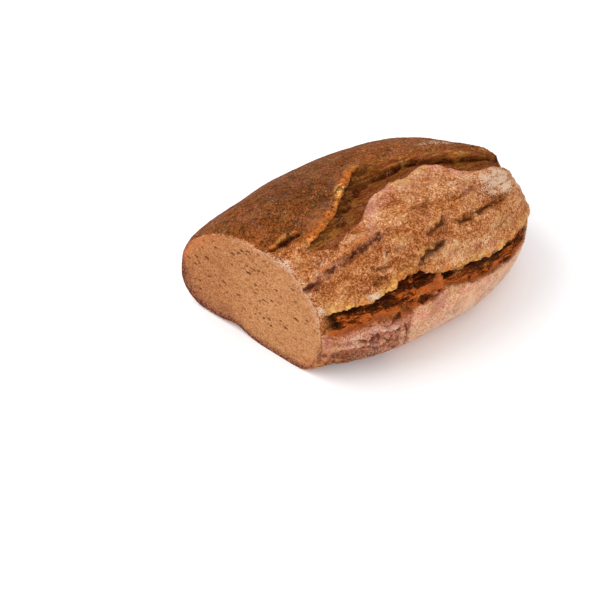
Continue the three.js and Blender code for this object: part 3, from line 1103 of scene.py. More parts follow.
class NodeBench:
    """A node tree being put together, with its links made as values are given."""

    def __init__(self, tree: bpy.types.NodeTree) -> None:
        """Start on an empty tree."""
        self.tree = tree
        tree.nodes.clear()

    def give(self, socket: Socket, value: Any) -> None:
        """Link a socket to another, or set its own value."""
        if isinstance(value, Socket):
            self.tree.links.new(value, socket)
        else:
            socket.default_value = value

    def node(self, kind: str, inputs: dict[str | int, Any] | None = None,
             **settings: Any) -> bpy.types.Node:
        """Add a node.

        Args:
            kind: The node's Blender type.
            inputs: Values or sockets for its inputs, by name or number.
            settings: The node's own settings.

        Returns:
            The new node.
        """
        made = self.tree.nodes.new(kind)
        for name, value in settings.items():
            setattr(made, name, value)
        for name, value in (inputs or {}).items():
            self.give(made.inputs[name], value)
        return made

    def sums(self, operation: str, *values: Any, clamp: bool = False) -> Socket:
        """A Math node's result."""
        kind = "ShaderNodeMath"
        return self.node(kind, dict(enumerate(values)), operation=operation, use_clamp=clamp).outputs[0]

    def plus(self, first: Any, *others: Any) -> Socket:
        """Values added up one after the other."""
        for other in others:
            first = self.sums("ADD", first, other)
        return first

    def times(self, first: Any, second: Any, clamp: bool = False) -> Socket:
        """Two values multiplied."""
        return self.sums("MULTIPLY", first, second, clamp=clamp)

    def shift(self, pattern: Any, weight: float) -> Socket:
        """A pattern from 0 to 1 as a shift to both sides of 0, as wide as its weight."""
        return self.sums("MULTIPLY_ADD", pattern, weight, -weight / 2)

    def vectors(self, operation: str, *values: Any) -> Socket:
        """A Vector Math node's first result."""
        kind = "ShaderNodeVectorMath"
        return self.node(kind, dict(enumerate(values)), operation=operation).outputs[0]

    def span(self, value: Any, low: Any, high: float, to_low: float = 0.0, to_high: Any = 1.0) -> Socket:
        """Map a range of values onto another, smoothly and held at its ends."""
        kind = "ShaderNodeMapRange"
        inputs = {"Value": value, "From Min": low, "From Max": high, "To Min": to_low, "To Max": to_high}
        return self.node(kind, inputs, interpolation_type="SMOOTHSTEP").outputs[0]

    def noise(self, place: Socket, scale: Any, detail: float, rough: float = 0.5) -> bpy.types.Node:
        """A Noise Texture node."""
        inputs = {"Vector": place, "Scale": scale, "Detail": detail, "Roughness": rough}
        return self.node("ShaderNodeTexNoise", inputs)

    def blend(self, share: Any, below: Any, above: Any, how: str = "MIX") -> Socket:
        """Mix two colours."""
        made = self.node("ShaderNodeMix", data_type="RGBA", blend_type=how, clamp_factor=True)
        for number, value in ((0, share), (6, below), (7, above)):
            self.give(made.inputs[number], value)
        return made.outputs[2]

    def ramp(self, value: Any, stops: Ramp) -> Socket:
        """Colours along a value."""
        made = self.node("ShaderNodeValToRGB", {0: value})
        band = made.color_ramp
        for i, (place, colour) in enumerate(stops):
            stop = band.elements[i] if i < 2 else band.elements.new(place)
            stop.position, stop.color = place, tone(colour)
        return made.outputs[0]

    def mask(self, mask: Mask) -> Socket:
        """One of the loaf's own masks."""
        return self.node("ShaderNodeAttribute", attribute_name=mask.value).outputs["Fac"]


class Effects:
    """The shader groups that crust and crumb share."""

    def __init__(self) -> None:
        """Build each group once."""
        self.mottle = self.build_mottle()
        self.grit = self.build_grit()
        self.dust = self.build_dust()
        self.specks = self.build_specks()

    @staticmethod
    def start(name: str, inputs: dict[str, float], *outputs: str) -> tuple[NodeBench, Any, Any]:
        """Start a group with its named sockets.

        Args:
            name: The group's name.
            inputs: Each number that goes in beside the place, with its value.
            outputs: The names of the numbers that come out.

        Returns:
            The bench, what goes in and what comes out.
        """
        tree = bpy.data.node_groups.new(name, "ShaderNodeTree")
        tree.interface.new_socket("Vector", in_out="INPUT", socket_type="NodeSocketVector")
        for label, value in inputs.items():
            socket = tree.interface.new_socket(label, in_out="INPUT", socket_type="NodeSocketFloat")
            socket.default_value = value
        for label in outputs:
            tree.interface.new_socket(label, in_out="OUTPUT", socket_type="NodeSocketFloat")
        bench = NodeBench(tree)
        return bench, bench.node("NodeGroupInput").outputs, bench.node("NodeGroupOutput").inputs

    @staticmethod
    def scale(bench: NodeBench, given: Any) -> Socket:
        """The texture scale for the group's own size in millimetres."""
        return bench.sums("DIVIDE", 1.0 / MM, given["Size mm"])

    def build_mottle(self) -> bpy.types.NodeTree:
        """Patches of lighter and darker baking, from 0 to 1."""
        numbers = {"Size mm": 10.0, "Contrast": 1.0, "Seed": 0.0, "Detail": 4.0}
        bench, given, result = self.start("Mottle", numbers, "Mask")
        inputs = {"Vector": given["Vector"], "W": given["Seed"], "Scale": self.scale(bench, given),
                  "Detail": given["Detail"], "Roughness": 0.6}
        noise = bench.node("ShaderNodeTexNoise", inputs, noise_dimensions="4D")
        centred = bench.sums("SUBTRACT", noise.outputs[0], 0.5)
        strong = bench.times(centred, bench.times(given["Contrast"], 2.4))
        bench.give(result["Mask"], bench.sums("ADD", strong, 0.5, clamp=True))
        return bench.tree

    def build_grit(self) -> bpy.types.NodeTree:
        """Relief of fine grains and pits, in metres, and 1 on its crests."""
        numbers = {"Size mm": 1.0, "Depth mm": 0.2}
        bench, given, result = self.start("Grit", numbers, "Height", "Crest")
        place, scale = given["Vector"], self.scale(bench, given)
        noise = bench.noise(place, scale, 3.0, 0.65)
        inputs = {"Vector": place, "Scale": scale}
        cells = bench.node("ShaderNodeTexVoronoi", inputs, feature="SMOOTH_F1")
        mixed = bench.plus(noise.outputs[0], bench.times(cells.outputs[0], -0.6))
        bench.give(result["Height"], bench.times(mixed, bench.times(given["Depth mm"], MM)))
        bench.give(result["Crest"], bench.span(mixed, -0.05, 0.4))
        return bench.tree

    def build_specks(self) -> bpy.types.NodeTree:
        """Scattered round specks of differing size, 0 or 1."""
        numbers = {"Size mm": 1.4, "From": 0.4, "Radius": 0.36}
        bench, given, result = self.start("Specks", numbers, "Mask")
        inputs = {"Vector": given["Vector"], "Scale": self.scale(bench, given)}
        cells = bench.node("ShaderNodeTexVoronoi", inputs)
        chosen = bench.node("ShaderNodeSeparateColor", {0: cells.outputs["Color"]})
        size = bench.span(chosen.outputs[0], given["From"], 1.0, 0.0, given["Radius"])
        bench.give(result["Mask"], bench.sums("LESS_THAN", cells.outputs["Distance"], size))
        return bench.tree

    def build_dust(self) -> bpy.types.NodeTree:
        """Flour lying in specks and drifts, from 0 to 1."""
        bench, given, result = self.start("Flour", {"Amount": 0.5, "Crest": 0.5}, "Mask")
        fine = bench.noise(given["Vector"], 1100.0, 3.0, 0.7).outputs[0]
        drift = bench.noise(given["Vector"], 130.0, 3.0, 0.6).outputs[0]
        both = bench.plus(bench.times(fine, 0.62), bench.times(drift, 0.38))
        level = bench.plus(both, bench.times(given["Amount"], 0.42), bench.shift(given["Crest"], 0.24))
        bench.give(result["Mask"], bench.span(level, 0.64, 0.94))
        return bench.tree


class MaterialBench(NodeBench):
    """A material being put together from the shared effects."""

    def __init__(self, name: str, effects: Effects) -> None:
        """Start a new material.

        Args:
            name: The material's name.
            effects: The shared groups.
        """
        self.material = bpy.data.materials.new(name)
        self.material.use_nodes = True
        super().__init__(self.material.node_tree)
        self.effects = effects
        self.place = self.node("ShaderNodeTexCoord").outputs["Object"]

    def use(self, group: bpy.types.NodeTree, values: dict[str, Any]) -> Socket:
        """Place a group, read at the object's own places unless told otherwise."""
        return self.node("ShaderNodeGroup", {"Vector": self.place, **values}, node_tree=group).outputs[0]

    def mottle(self, size: float, contrast: float, seed: float, detail: float = 4.0,
               place: Socket | None = None) -> Socket:
        """Patches of lighter and darker baking, as large as the size in millimetres."""
        values = {"Size mm": size, "Contrast": contrast, "Seed": seed, "Detail": detail}
        return self.use(self.effects.mottle, {**values, "Vector": place or self.place})

    def grit(self, size: float, depth: float) -> Socket:
        """Relief of grains of a size and depth in millimetres."""
        return self.use(self.effects.grit, {"Size mm": size, "Depth mm": depth})

    def specks(self, size: float, share: float, radius: float) -> Socket:
        """Round specks: the larger the share, the fewer."""
        return self.use(self.effects.specks, {"Size mm": size, "From": share, "Radius": radius})

    def close(self, colour: Socket, rough: Socket, height: Socket, bump: float, shine: float) -> None:
        """Finish the material.

        Args:
            colour: Its colour.
            rough: Its roughness.
            height: Its fine relief, in metres.
            bump: How strongly the relief shows.
            shine: Its specular level.
        """
        relief = self.node("ShaderNodeBump", {"Strength": bump, "Distance": 1.0, "Height": height})
        inputs = {"Base Color": colour, "Roughness": rough, "Normal": relief.outputs[0]}
        shader = self.node("ShaderNodeBsdfPrincipled", inputs)
        shader.inputs["Specular IOR Level"].default_value = shine
        self.node("ShaderNodeOutputMaterial", {"Surface": shader.outputs[0]})


class CrustBench(MaterialBench):
    """The crust's material being put together, with what several of its layers read."""

    def __init__(self, effects: Effects) -> None:
        """Lay the shared patterns.

        Args:
            effects: The shared groups.
        """
        super().__init__("crust", effects)
        self.broad, self.middle = self.mottle(26.0, 1.0, 1.0), self.mottle(6.0, 1.2, 2.0)
        self.fine, self.tiny = self.mottle(2.2, 1.7, 3.0, 1.0), self.mottle(0.95, 2.4, 4.0, 1.0)
        self.bake, self.torn, self.ridge = (self.mask(m) for m in (Mask.BAKE, Mask.TORN, Mask.RIDGE))
        self.calm = self.span(self.bake, 0.6, 0.9, 1.0, 0.8)
        self.coarse, self.grains = self.grit(2.6, 1.5), self.grit(1.0, 1.8)
        self.crest = self.grains.node.outputs["Crest"]
        stretched = self.node("ShaderNodeMapping", {"Vector": self.place, "Scale": (0.16, 1.0, 1.0)})
        self.strands = self.mottle(2.4, 1.7, 7.0, place=stretched.outputs[0])
        self.bands = self.mottle(6.5, 1.4, 8.0, place=stretched.outputs[0])
        self.dust = self.use(effects.dust, {"Amount": self.mask(Mask.FLOUR), "Crest": self.crest})


@dataclass(frozen=True)
class CrustFinish:
    """Baked crust: dark and smooth at the back, rough and dusty on the plate, torn open between."""

    skin: Ramp = (
        (0.0, (240, 198, 156)), (0.2, (214, 152, 102)), (0.42, (190, 112, 60)),
        (0.62, (148, 78, 32)), (0.85, (112, 60, 18)), (1.0, (70, 34, 8)),
    )
    # The torn dough's colours from under the lip to the floor's edge; the darker low end is painted
    # shade under the lip.
    side_flesh_and_shade: Ramp = (
        (0.0, (34, 14, 3)), (0.3, (76, 36, 8)), (0.55, (136, 62, 18)), (0.76, (226, 112, 40)),
        (1.0, (192, 104, 58)),
    )
    ridge_flesh_and_shade: Ramp = (
        (0.0, (104, 60, 20)), (0.25, (168, 104, 42)), (0.5, (142, 84, 32)), (0.78, (112, 50, 18)),
        (1.0, (156, 88, 48)),
    )
    lip_light: Colour = (252, 202, 110)
    lip_orange: Colour = (220, 116, 46)
    mauve: Colour = (172, 112, 94)
    straw: Colour = (206, 154, 92)
    damp: Colour = (150, 92, 80)
    flour: Colour = (238, 206, 178)
    grain: Colour = (220, 172, 116)
    # Painted shade for crevices, gaps, pits and steps; also the colour of dark specks on the skin.
    dark_specks_and_shade: Colour = (76, 22, 2)
    bump: float = 0.9
    shine: float = 0.04

    def material(self, effects: Effects) -> bpy.types.Material:
        """Build the crust's material.

        Args:
            effects: The shared groups.

        Returns:
            The material.
        """
        bench = CrustBench(effects)
        colour = bench.blend(bench.torn, self.baked(bench), self.torn_dough_and_shade(bench))
        colour = self.lit(bench, colour)
        # Painted shade: darken the crust towards a near-black brown where the crevice shade mask is
        # high.
        hollow = bench.times(bench.mask(Mask.CREVICE_SHADE), bench.span(bench.tiny, 0.0, 0.9, 0.95, 0.6), True)
        colour = bench.blend(hollow, colour, tone(self.dark_specks_and_shade))
        colour = bench.blend(bench.times(bench.dust, 0.75), colour, tone(self.flour))
        sheen = bench.plus(bench.span(bench.bake, 0.5, 1.0, 0.8, 0.55), bench.times(bench.fine, 0.12))
        rough = bench.sums("MAXIMUM", sheen, bench.times(bench.dust, 0.95), clamp=True)
        bench.close(colour, rough, self.height(bench), self.bump, self.shine)
        return bench.material

    def baked(self, bench: CrustBench) -> Socket:
        """Colour the skin: its baking, mottled, tinted, left damp in places and speckled.

        Args:
            bench: The crust's bench.

        Returns:
            The colour.
        """
        shift = bench.shift(bench.broad, 0.16)
        # The grit's crests come out paler: partly pale floury grain, partly painted highlight.
        for pattern, weight in ((bench.middle, 0.18), (bench.fine, 0.16), (bench.tiny, 0.32),
                                (bench.crest, -0.28)):
            shift = bench.plus(shift, bench.times(bench.shift(pattern, weight), bench.calm))
        skin = bench.ramp(bench.plus(bench.bake, shift), self.skin)
        pale = bench.span(bench.bake, 0.22, 0.6, 0.5, 0.08)
        for tint, size, seed in ((self.mauve, 15.0, 5.0), (self.straw, 12.0, 6.0)):
            share = bench.span(bench.mottle(size, 1.6, seed), 0.45, 0.95)
            skin = bench.blend(bench.times(share, pale), skin, tone(tint))
        steamed = bench.times(bench.mask(Mask.DAMP), bench.span(bench.middle, 0.1, 0.8, 0.4, 0.9))
        skin = bench.blend(steamed, skin, tone(self.damp), "COLOR")
        for tint, size, share, seen in ((self.dark_specks_and_shade, 1.9, 0.5, 0.4), (self.grain, 1.5, 0.7, 0.35)):
            patchy = bench.span(bench.broad, 0.35, 0.8, 0.5 * seen, 1.5 * seen)
            skin = bench.blend(bench.times(bench.specks(size, share, 0.34), patchy), skin, tone(tint))
        return skin

    def torn_dough_and_shade(self, bench: CrustBench) -> Socket:
        """The torn dough's colour, in strands and bands along the loaf, with painted shade under the
        lips.
        """
        inner = bench.plus(bench.mask(Mask.RISE), bench.shift(bench.strands, 0.6),
                           bench.shift(bench.bands, 0.76), bench.shift(bench.tiny, 0.2))
        return bench.blend(bench.ridge, bench.ramp(inner, self.side_flesh_and_shade),
                           bench.ramp(inner, self.ridge_flesh_and_shade))

    def lit(self, bench: CrustBench, colour: Socket) -> Socket:
        """Brighten the tears' thin edges, in chips from orange to yellow."""
        flakes, chips = bench.mottle(3.0, 1.2, 9.0), bench.mottle(2.6, 2.2, 10.0)
        streaks = bench.sums("MULTIPLY_ADD", bench.mottle(13.0, 2.0, 13.0), 0.9, -0.42)
        paler = bench.sums("MULTIPLY_ADD", bench.ridge, -0.34, streaks)
        edge = bench.blend(bench.sums("ADD", flakes, paler, clamp=True), tone(self.lip_orange),
                           tone(self.lip_light))
        shine = bench.times(bench.mask(Mask.LIP), bench.span(chips, 0.25, 0.6, 0.1, 1.0))
        return bench.blend(shine, colour, edge)

    @staticmethod
    def height(bench: CrustBench) -> Socket:
        """The crust's fine relief: grains, the torn dough's strands, and flour lying on it."""
        grains = bench.times(bench.plus(bench.coarse, bench.grains), bench.calm)
        strands = bench.times(bench.times(bench.strands, bench.torn), 1.2 * MM)
        return bench.plus(grains, strands, bench.times(bench.dust, 0.15 * MM))


@dataclass(frozen=True)
class CrumbFinish:
    """The crumb inside: dense, finely pored, darker and tougher towards the crust."""

    dough: Ramp = ((0.15, (148, 90, 52)), (0.5, (174, 116, 72)), (0.85, (192, 138, 92)))
    # Painted shade inside the pores.
    pore: Colour = (100, 52, 26)
    rim: Colour = (130, 76, 54)
    crust: Colour = (84, 40, 26)
    toast: Colour = (200, 112, 64)
    fuzz: Colour = (222, 176, 148)
    bump: float = 0.8
    shine: float = 0.1

    def material(self, effects: Effects) -> bpy.types.Material:
        """Build the crumb's material.

        Args:
            effects: The shared groups.

        Returns:
            The material.
        """
        bench = MaterialBench("crumb", effects)
        broad, middle = bench.mottle(30.0, 0.9, 11.0), bench.mottle(4.5, 1.3, 14.0)
        fine = bench.mottle(1.05, 1.9, 12.0, 1.5)
        across = bench.node("ShaderNodeSeparateXYZ", {0: bench.place}).outputs["Y"]
        level = bench.plus(bench.times(broad, 0.3), bench.times(fine, 0.55), bench.times(middle, 0.15),
                           bench.span(across, -0.04, 0.05, 0.12, -0.14))
        colour = bench.ramp(level, self.dough)
        # Pores and tiny pits are darkened with painted shade.
        tiny = bench.specks(1.5, 0.35, 0.4)
        pores = bench.sums("MAXIMUM", bench.times(tiny, 0.3), bench.mask(Mask.PORE_SHADE))
        colour = bench.blend(bench.times(pores, 0.85), colour, tone(self.pore))
        for mask, pattern, least, tint in ((Mask.LIP, broad, 0.5, self.toast),
                                           (Mask.FLOUR, fine, 0.4, self.fuzz)):
            share = bench.times(bench.mask(mask), bench.span(pattern, 0.1, 0.8, least, 1.0))
            colour = bench.blend(share, colour, tone(tint))
        depth = bench.plus(bench.mask(Mask.RIM), bench.shift(fine, 1.6))
        for low, high, most, tint in ((0.3, 4.5, 0.7, self.rim), (0.0, 1.1, 1.0, self.crust)):
            colour = bench.blend(bench.span(depth, low, high, most, 0.0), colour, tone(tint))
        height = bench.plus(bench.grit(1.0, 0.5), bench.times(tiny, -0.35 * MM))
        rough = bench.sums("MULTIPLY_ADD", fine, 0.1, 0.85)
        bench.close(colour, rough, height, self.bump, self.shine)
        return bench.material


@dataclass(frozen=True)
class PoreSize:
    """One population of air holes in the crumb."""

    name: str
    per_square_metre: float
    smallest: float  # radii, in millimetres
    largest: float
    depth: float  # against the radius
    stretch: tuple[float, float, float]  # below 1 a hole is longer that way
    seed: int


@dataclass(frozen=True)
class PoreNodes:
    """A Geometry Nodes tree that sinks air holes into the cut face."""

    inward: tuple[float, float, float]
    sizes: tuple[PoreSize, ...] = (
        PoreSize("Fine", 80000.0, 0.3, 0.6, 1.1, (1.0, 1.0, 1.0), 3),
        PoreSize("Middle", 18000.0, 0.5, 1.0, 1.0, (1.0, 0.68, 1.05), 8),
        PoreSize("Large", 3000.0, 0.85, 1.5, 0.9, (1.0, 0.58, 1.1), 13),
        PoreSize("Slit", 260.0, 0.8, 1.1, 1.0, (1.0, 0.26, 1.0), 21),
    )

    def build(self, crust: bpy.types.Material, crumb: bpy.types.Material) -> bpy.types.NodeTree:
        """Build the tree.

        Args:
            crust: Goes on all that isn't cut face.
            crumb: Goes on the cut face.

        Returns:
            The tree, with each population's density and sizes as named inputs.
        """
        tree = bpy.data.node_groups.new("Crumb pores", "GeometryNodeTree")
        tree.interface.new_socket("Geometry", in_out="INPUT", socket_type="NodeSocketGeometry")
        for size in self.sizes:
            for label, value in self.labels(size).items():
                socket = tree.interface.new_socket(label, in_out="INPUT", socket_type="NodeSocketFloat")
                socket.default_value = value
        tree.interface.new_socket("Geometry", in_out="OUTPUT", socket_type="NodeSocketGeometry")
        bench = NodeBench(tree)
        given = bench.node("NodeGroupInput").outputs
        solid = given["Geometry"]
        on_cut = self.attribute(bench, Mask.CRUMB.value)
        chosen = bench.node("FunctionNodeCompare", {0: on_cut, 1: 0.5}, operation="GREATER_THAN")
        chosen = chosen.outputs[0]
        depth: Any = 0.0
        for size in self.sizes:
            depth = bench.sums("MAXIMUM", depth, self.population(bench, given, chosen, size))
        depth = bench.times(depth, bench.span(self.attribute(bench, Mask.RIM.value), 0.8, 3.0))
        where = bench.node("GeometryNodeInputPosition").outputs[0]
        region = bench.noise(where, 32.0, 1.0).outputs[0]
        depth = bench.times(depth, bench.span(region, 0.38, 0.54, 0.4, 1.0))
        # Store how deep each hole is: the crumb's colour reads it as painted shade.
        stored = self.store(bench, solid, Mask.PORE_SHADE.value, bench.span(depth, 0.0, 0.6 * MM))
        push = bench.node("ShaderNodeVectorMath", {0: self.inward}, operation="SCALE")
        bench.give(push.inputs["Scale"], depth)
        inputs = {"Geometry": stored, "Selection": chosen, "Offset": push.outputs[0]}
        moved = bench.node("GeometryNodeSetPosition", inputs)
        real = bench.node("GeometryNodeRealizeInstances", {0: moved.outputs[0]})
        inputs = {"Geometry": real.outputs[0], "Material": crust}
        dressed = bench.node("GeometryNodeSetMaterial", inputs)
        inputs = {"Geometry": dressed.outputs[0], "Selection": chosen, "Material": crumb}
        cut = bench.node("GeometryNodeSetMaterial", inputs)
        bench.node("NodeGroupOutput", {"Geometry": cut.outputs[0]})
        return tree

    @staticmethod
    def labels(size: PoreSize) -> dict[str, float]:
        """The named inputs of one population, with their values."""
        return {
            f"{size.name} pores per square metre": size.per_square_metre,
            f"{size.name} pore smallest radius": size.smallest * MM,
            f"{size.name} pore largest radius": size.largest * MM,
            f"{size.name} pore depth": size.depth,
        }

    @staticmethod
    def attribute(bench: NodeBench, name: str) -> Socket:
        """Read a named attribute of the mesh or of its points."""
        node = bench.node("GeometryNodeInputNamedAttribute", {"Name": name}, data_type="FLOAT")
        return node.outputs[0]

    @staticmethod
    def store(bench: NodeBench, geometry: Socket, name: str, value: Socket) -> Socket:
        """Store a number on every point, under a name."""
        inputs = {"Geometry": geometry, "Name": name, "Value": value}
        kind = "GeometryNodeStoreNamedAttribute"
        return bench.node(kind, inputs, data_type="FLOAT", domain="POINT").outputs[0]

    def population(self, bench: NodeBench, given: Any, chosen: Socket, size: PoreSize) -> Socket:
        """How deep one population of holes is at each point.

        Args:
            bench: The tree's bench.
            given: What goes into the tree.
            chosen: Where holes may be.
            size: The population.

        Returns:
            The depth, in metres.
        """
        density, smallest, largest, depth = (given[label] for label in self.labels(size))
        inputs = {"Mesh": given["Geometry"], "Selection": chosen, "Density": density, "Seed": size.seed}
        scattered = bench.node("GeometryNodeDistributePointsOnFaces", inputs, distribute_method="RANDOM")
        inputs = {2: smallest, 3: largest, "Seed": size.seed + 1}
        radius = bench.node("FunctionNodeRandomValue", inputs, data_type="FLOAT")
        sized = self.store(bench, scattered.outputs[0], "radius", radius.outputs[1])
        place = bench.node("GeometryNodeInputPosition").outputs[0]
        squeezed = bench.vectors("MULTIPLY", place, size.stretch)
        inputs = {"Geometry": sized, "Position": squeezed}
        points = bench.node("GeometryNodeSetPosition", inputs).outputs[0]
        ripple = bench.noise(place, 650.0, 2.0).outputs["Color"]
        centred = bench.vectors("SUBTRACT", ripple, (0.5, 0.5, 0.5))
        shaken = bench.vectors("MULTIPLY_ADD", centred, (1.1 * MM,) * 3, place)
        probe = bench.vectors("MULTIPLY", shaken, size.stretch)
        inputs = {"Geometry": points, "Sample Position": probe}
        near = bench.node("GeometryNodeSampleNearest", inputs, domain="POINT").outputs[0]

        def nearest(kind: str, value: Socket) -> Socket:
            """Read a value at the nearest hole."""
            inputs = {"Geometry": points, "Index": near}
            read = bench.node("GeometryNodeSampleIndex", inputs, data_type=kind, domain="POINT")
            bench.give(read.inputs["Value"], value)
            return read.outputs[0]

        hole = nearest("FLOAT_VECTOR", bench.node("GeometryNodeInputPosition").outputs[0])
        own = nearest("FLOAT", self.attribute(bench, "radius"))
        gap = bench.node("ShaderNodeVectorMath", {0: probe, 1: hole}, operation="DISTANCE")
        share = bench.sums("DIVIDE", gap.outputs["Value"], bench.sums("MAXIMUM", own, 1e-6))
        bowl = bench.sums("SUBTRACT", 1.0, bench.times(share, share), clamp=True)
        return bench.times(bench.times(bench.sums("SQRT", bowl), own), depth)


@dataclass
class Loaf:
    """The whole loaf: skin, base and cut face as one closed mesh, dressed."""

    MAP_NAME = "OFBake"
    MAP_EDGE = 0.01
    MAP_CRUST = (0.6, 0.98)
    MAP_TIP = 0.62
    MAP_CUT = (0.65, 0.02)
    MAP_CUT_SIZE = 0.33

    box: tuple[Vector, Vector]
    crust: CrustFinish = CrustFinish()
    crumb: CrumbFinish = CrumbFinish()

    def placed(self, points: np.ndarray, form: LoafForm) -> np.ndarray:
        """Move points from the loaf's stations into the frame.

        Args:
            points: Points in millimetres, x a station along the loaf.
            form: The loaf's sizes.

        Returns:
            Points in metres, the heel's tip at the box's far end.
        """
        low, high = self.box
        scale = (high.y - low.y) / (2.0 * form.half_width)
        moved = points * scale
        moved[..., 0] += high.x - form.length * scale
        moved[..., 1] += (high.y + low.y) / 2.0
        moved[..., 2] += low.z
        return moved

    def build(self, effects: Effects) -> bpy.types.Object:
        """Build the loaf.

        Args:
            effects: The shared shader groups.

        Returns:
            The finished object.
        """
        skin = CrustSkin()
        inner, cut_masks, triangles = CutFace(skin).fill()
        rings, columns = skin.points.shape[:2]
        grid = skin.points.reshape(-1, 3)
        points = np.vstack([grid, inner, skin.tip()[None]])
        tip = len(points) - 1
        index = np.arange(rings * columns).reshape(rings, columns)
        nexts = np.roll(index, -1, axis=1)
        quads = np.stack([index[:-1], nexts[:-1], nexts[1:], index[1:]], -1).reshape(-1, 4)
        fan = [(int(a), int(b), tip) for a, b in zip(index[-1], nexts[-1])]
        behind = (rings - 1) * columns
        cut = [tuple(i if i < columns else i + behind for i in t) for t in triangles]
        faces = quads.tolist() + fan + cut
        mesh = bpy.data.meshes.new(NODE)
        mesh.from_pydata(self.placed(points, skin.form).tolist(), [], faces)
        self.turn_outwards(mesh)
        self.mark(mesh, skin, cut_masks, len(inner))
        mesh.shade_smooth()
        body = bpy.data.objects.new("bread", mesh)
        bpy.context.collection.objects.link(body)
        self.unroll(mesh, skin, len(quads) + len(fan), points)
        self.open_pores(body, effects, skin.form)
        log.info("bread: %d points, %d faces", len(body.data.vertices), len(body.data.polygons))
        return body

    @staticmethod
    def turn_outwards(mesh: bpy.types.Mesh) -> None:
        """Make every face of the closed mesh point outwards."""
        work = bmesh.new()
        work.from_mesh(mesh)
        bmesh.ops.recalc_face_normals(work, faces=work.faces[:])
        if work.calc_volume(signed=True) < 0.0:
            bmesh.ops.reverse_faces(work, faces=work.faces[:])
        work.to_mesh(mesh)
        work.free()

    @staticmethod
    def mark(mesh: bpy.types.Mesh, skin: CrustSkin, cut: dict[Mask, np.ndarray], inner: int) -> None:
        """Write the masks on the mesh's points.

        Args:
            mesh: The loaf's mesh.
            skin: Holds the crust's masks.
            cut: The masks of the points inside the cut face.
            inner: How many points lie inside the cut face.
        """
        for mask, values in skin.masks.items():
            inside = cut.get(mask, np.zeros(inner))
            spread = np.concatenate([values.ravel(), inside, [values[-1].mean()]])
            made = mesh.attributes.new(mask.value, "FLOAT", "POINT")
            made.data.foreach_set("value", spread.astype(np.float32))

    def unroll(self, mesh: bpy.types.Mesh, skin: CrustSkin, crusty: int, points: np.ndarray) -> None:
        """Give the mesh a map of its own: the crust unrolled, and the cut face beside it.

        Args:
            mesh: The loaf's mesh.
            skin: The crust.
            crusty: How many faces are crust. They come before the cut face's.
            points: Every point, in the loaf's own millimetres.
        """
        rings, columns = skin.points.shape[:2]
        lengths = np.linalg.norm(np.diff(skin.points, axis=0), axis=-1).mean(1)
        u = np.concatenate([[0.0], np.cumsum(lengths)])
        around = np.roll(skin.points, -1, axis=1) - skin.points
        v = np.concatenate([[0.0], np.cumsum(np.linalg.norm(around, axis=-1).mean(0))])
        u = self.MAP_EDGE + self.MAP_CRUST[0] * u / (u[-1] + 1.0)
        v = self.MAP_EDGE + self.MAP_CRUST[1] * v / v[-1]
        low = points[:columns, 1:3].min(0)
        span = np.ptp(points[:columns, 1:3], axis=0).max()
        spots = np.zeros((len(mesh.loops), 2))
        vertex = np.empty(len(mesh.loops), int)
        mesh.loops.foreach_get("vertex_index", vertex)
        for face in mesh.polygons:
            loops = range(face.loop_start, face.loop_start + face.loop_total)
            if face.index >= crusty:
                for i in loops:
                    spots[i] = self.MAP_CUT + (points[vertex[i]][1:3] - low) / span * self.MAP_CUT_SIZE
                continue
            cols = [vertex[i] % columns for i in loops if vertex[i] < rings * columns]
            wraps = max(cols) == columns - 1 and min(cols) == 0
            for i in loops:
                ring, col = divmod(vertex[i], columns)
                if ring >= rings:
                    spots[i] = (self.MAP_TIP, v[min(cols)])
                else:
                    spots[i] = (u[ring], v[columns if wraps and col == 0 else col])
        mesh.uv_layers.new(name=self.MAP_NAME).data.foreach_set("uv", spots.ravel())

    def open_pores(self, body: bpy.types.Object, effects: Effects, form: LoafForm) -> None:
        """Run the pore nodes on the loaf and keep the result as its mesh.

        Args:
            body: The loaf.
            effects: The shared shader groups.
            form: The loaf's plain shape.
        """
        inward = Vector((1.0, -form.cut_turn, 0.0)).normalized()
        nodes = PoreNodes(tuple(inward))
        crust, crumb = self.crust.material(effects), self.crumb.material(effects)
        tree = nodes.build(crust, crumb)
        modifier = body.modifiers.new("pores", "NODES")
        modifier.node_group = tree
        sockets = {s.name: s.identifier for s in tree.interface.items_tree if s.in_out == "INPUT"}
        for size in nodes.sizes:
            for label, value in nodes.labels(size).items():
                modifier[sockets[label]] = value
        ready = body.evaluated_get(bpy.context.evaluated_depsgraph_get())
        made = bpy.data.meshes.new_from_object(ready)
        body.modifiers.remove(modifier)
        plain = body.data
        body.data = made
        bpy.data.meshes.remove(plain)
        made.name = "bread"
        log.info("materials: %s", [m.name for m in made.materials if m])


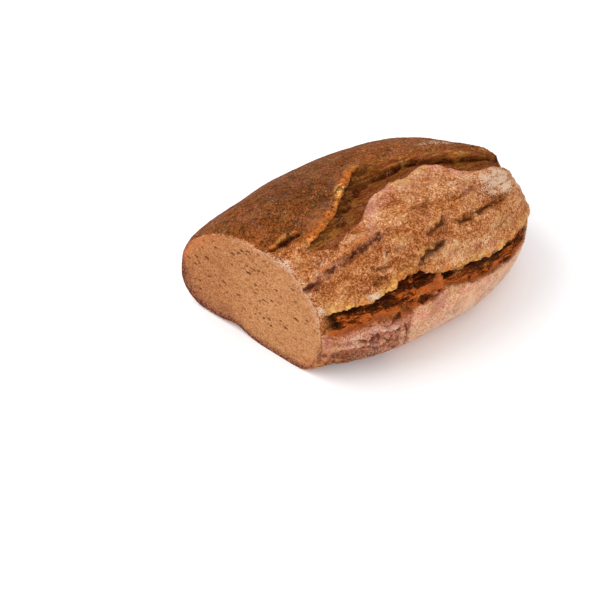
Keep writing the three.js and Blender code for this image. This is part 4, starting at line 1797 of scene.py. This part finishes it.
@dataclass(frozen=True)
class Studio:
    """A pale floor, soft light and the camera, in degrees and metres."""

    floor_half: float = 12.0
    azimuth: float = -37.92
    elevation: float = 43.13
    roll: float = 5.46
    distance: float = 0.803
    lens: float = 70.83
    aim: tuple[float, float, float] = (0.0096, 0.0, 0.04)
    off_centre: tuple[float, float] = (0.0681, 0.0536)  # of the middle of the view, to right and up
    floor_colour: tuple[float, float, float, float] = (0.94, 0.94, 0.95, 1.0)
    floor_rough: float = 0.9
    sky: float = 0.98
    lit: tuple[float, float, float] = (0.0, 0.0, 0.05)  # where the lamps point

    def floor(self) -> None:
        """Lay the floor."""
        made = bpy.data.materials.new("floor")
        made.use_nodes = True
        shader = made.node_tree.nodes["Principled BSDF"]
        shader.inputs["Base Color"].default_value = self.floor_colour
        shader.inputs["Roughness"].default_value = self.floor_rough
        half = self.floor_half
        mesh = bpy.data.meshes.new("floor")
        corners = [(-half, -half, 0), (half, -half, 0), (half, half, 0), (-half, half, 0)]
        mesh.from_pydata(corners, [], [(0, 1, 2, 3)])
        mesh.materials.append(made)
        plane = bpy.data.objects.new("floor", mesh)
        bpy.context.collection.objects.link(plane)

    def lamp(self, name: str, place: tuple[float, float, float], size: float, power: float) -> None:
        """Hang one soft lamp that faces the loaf."""
        data = bpy.data.lights.new(name, "AREA")
        data.shape, data.size, data.energy = "DISK", size, power
        lamp = bpy.data.objects.new(name, data)
        lamp.location = place
        lamp.rotation_euler = (Vector(self.lit) - Vector(place)).to_track_quat("-Z", "Y").to_euler()
        bpy.context.collection.objects.link(lamp)

    def light(self) -> None:
        """Light the room."""
        world = bpy.data.worlds.new("room")
        world.use_nodes = True
        sky = world.node_tree.nodes["Background"]
        sky.inputs["Color"].default_value = (1.0, 1.0, 1.0, 1.0)
        sky.inputs["Strength"].default_value = self.sky
        bpy.context.scene.world = world
        self.lamp("key", (-0.6, 0.3, 0.9), 0.9, 6.9)
        self.lamp("fill", (0.6, -1.2, 0.6), 1.0, 2.9)
        bpy.context.scene.view_settings.view_transform = "Standard"

    def camera(self) -> None:
        """Set the camera up."""
        azimuth, elevation = math.radians(self.azimuth), math.radians(self.elevation)
        back = Vector((math.sin(azimuth) * math.cos(elevation),
                       -math.cos(azimuth) * math.cos(elevation), math.sin(elevation)))
        ahead = -back
        right = ahead.cross(Vector((0, 0, 1))).normalized()
        up = right.cross(ahead)
        turn = math.radians(self.roll)
        right, up = (math.cos(turn) * right + math.sin(turn) * up,
                     -math.sin(turn) * right + math.cos(turn) * up)
        seen = (ahead + self.off_centre[0] * right + self.off_centre[1] * up).normalized()
        swing = seen.rotation_difference(ahead).to_matrix()
        axes = Matrix((right, up, -ahead)).transposed()
        data = bpy.data.cameras.new("camera")
        data.lens, data.sensor_width = self.lens, 36.0
        data.clip_start, data.clip_end = 0.01, 50.0
        camera = bpy.data.objects.new("camera", data)
        place = Matrix.Translation(Vector(self.aim) + back * self.distance)
        camera.matrix_world = place @ (swing @ axes).to_4x4()
        bpy.context.collection.objects.link(camera)
        bpy.context.scene.camera = camera


def main() -> None:
    """Build the loaf and its studio."""
    logging.basicConfig(level=logging.INFO, format="%(message)s")
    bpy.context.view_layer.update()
    studio = Studio()
    studio.camera()
    studio.floor()
    studio.light()
    effects = Effects()
    low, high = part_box(NODE)
    body = Loaf((Vector(low), Vector(high))).build(effects)
    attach(body, "root")
    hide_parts(NODE)


if __name__ == "__main__":
    main()
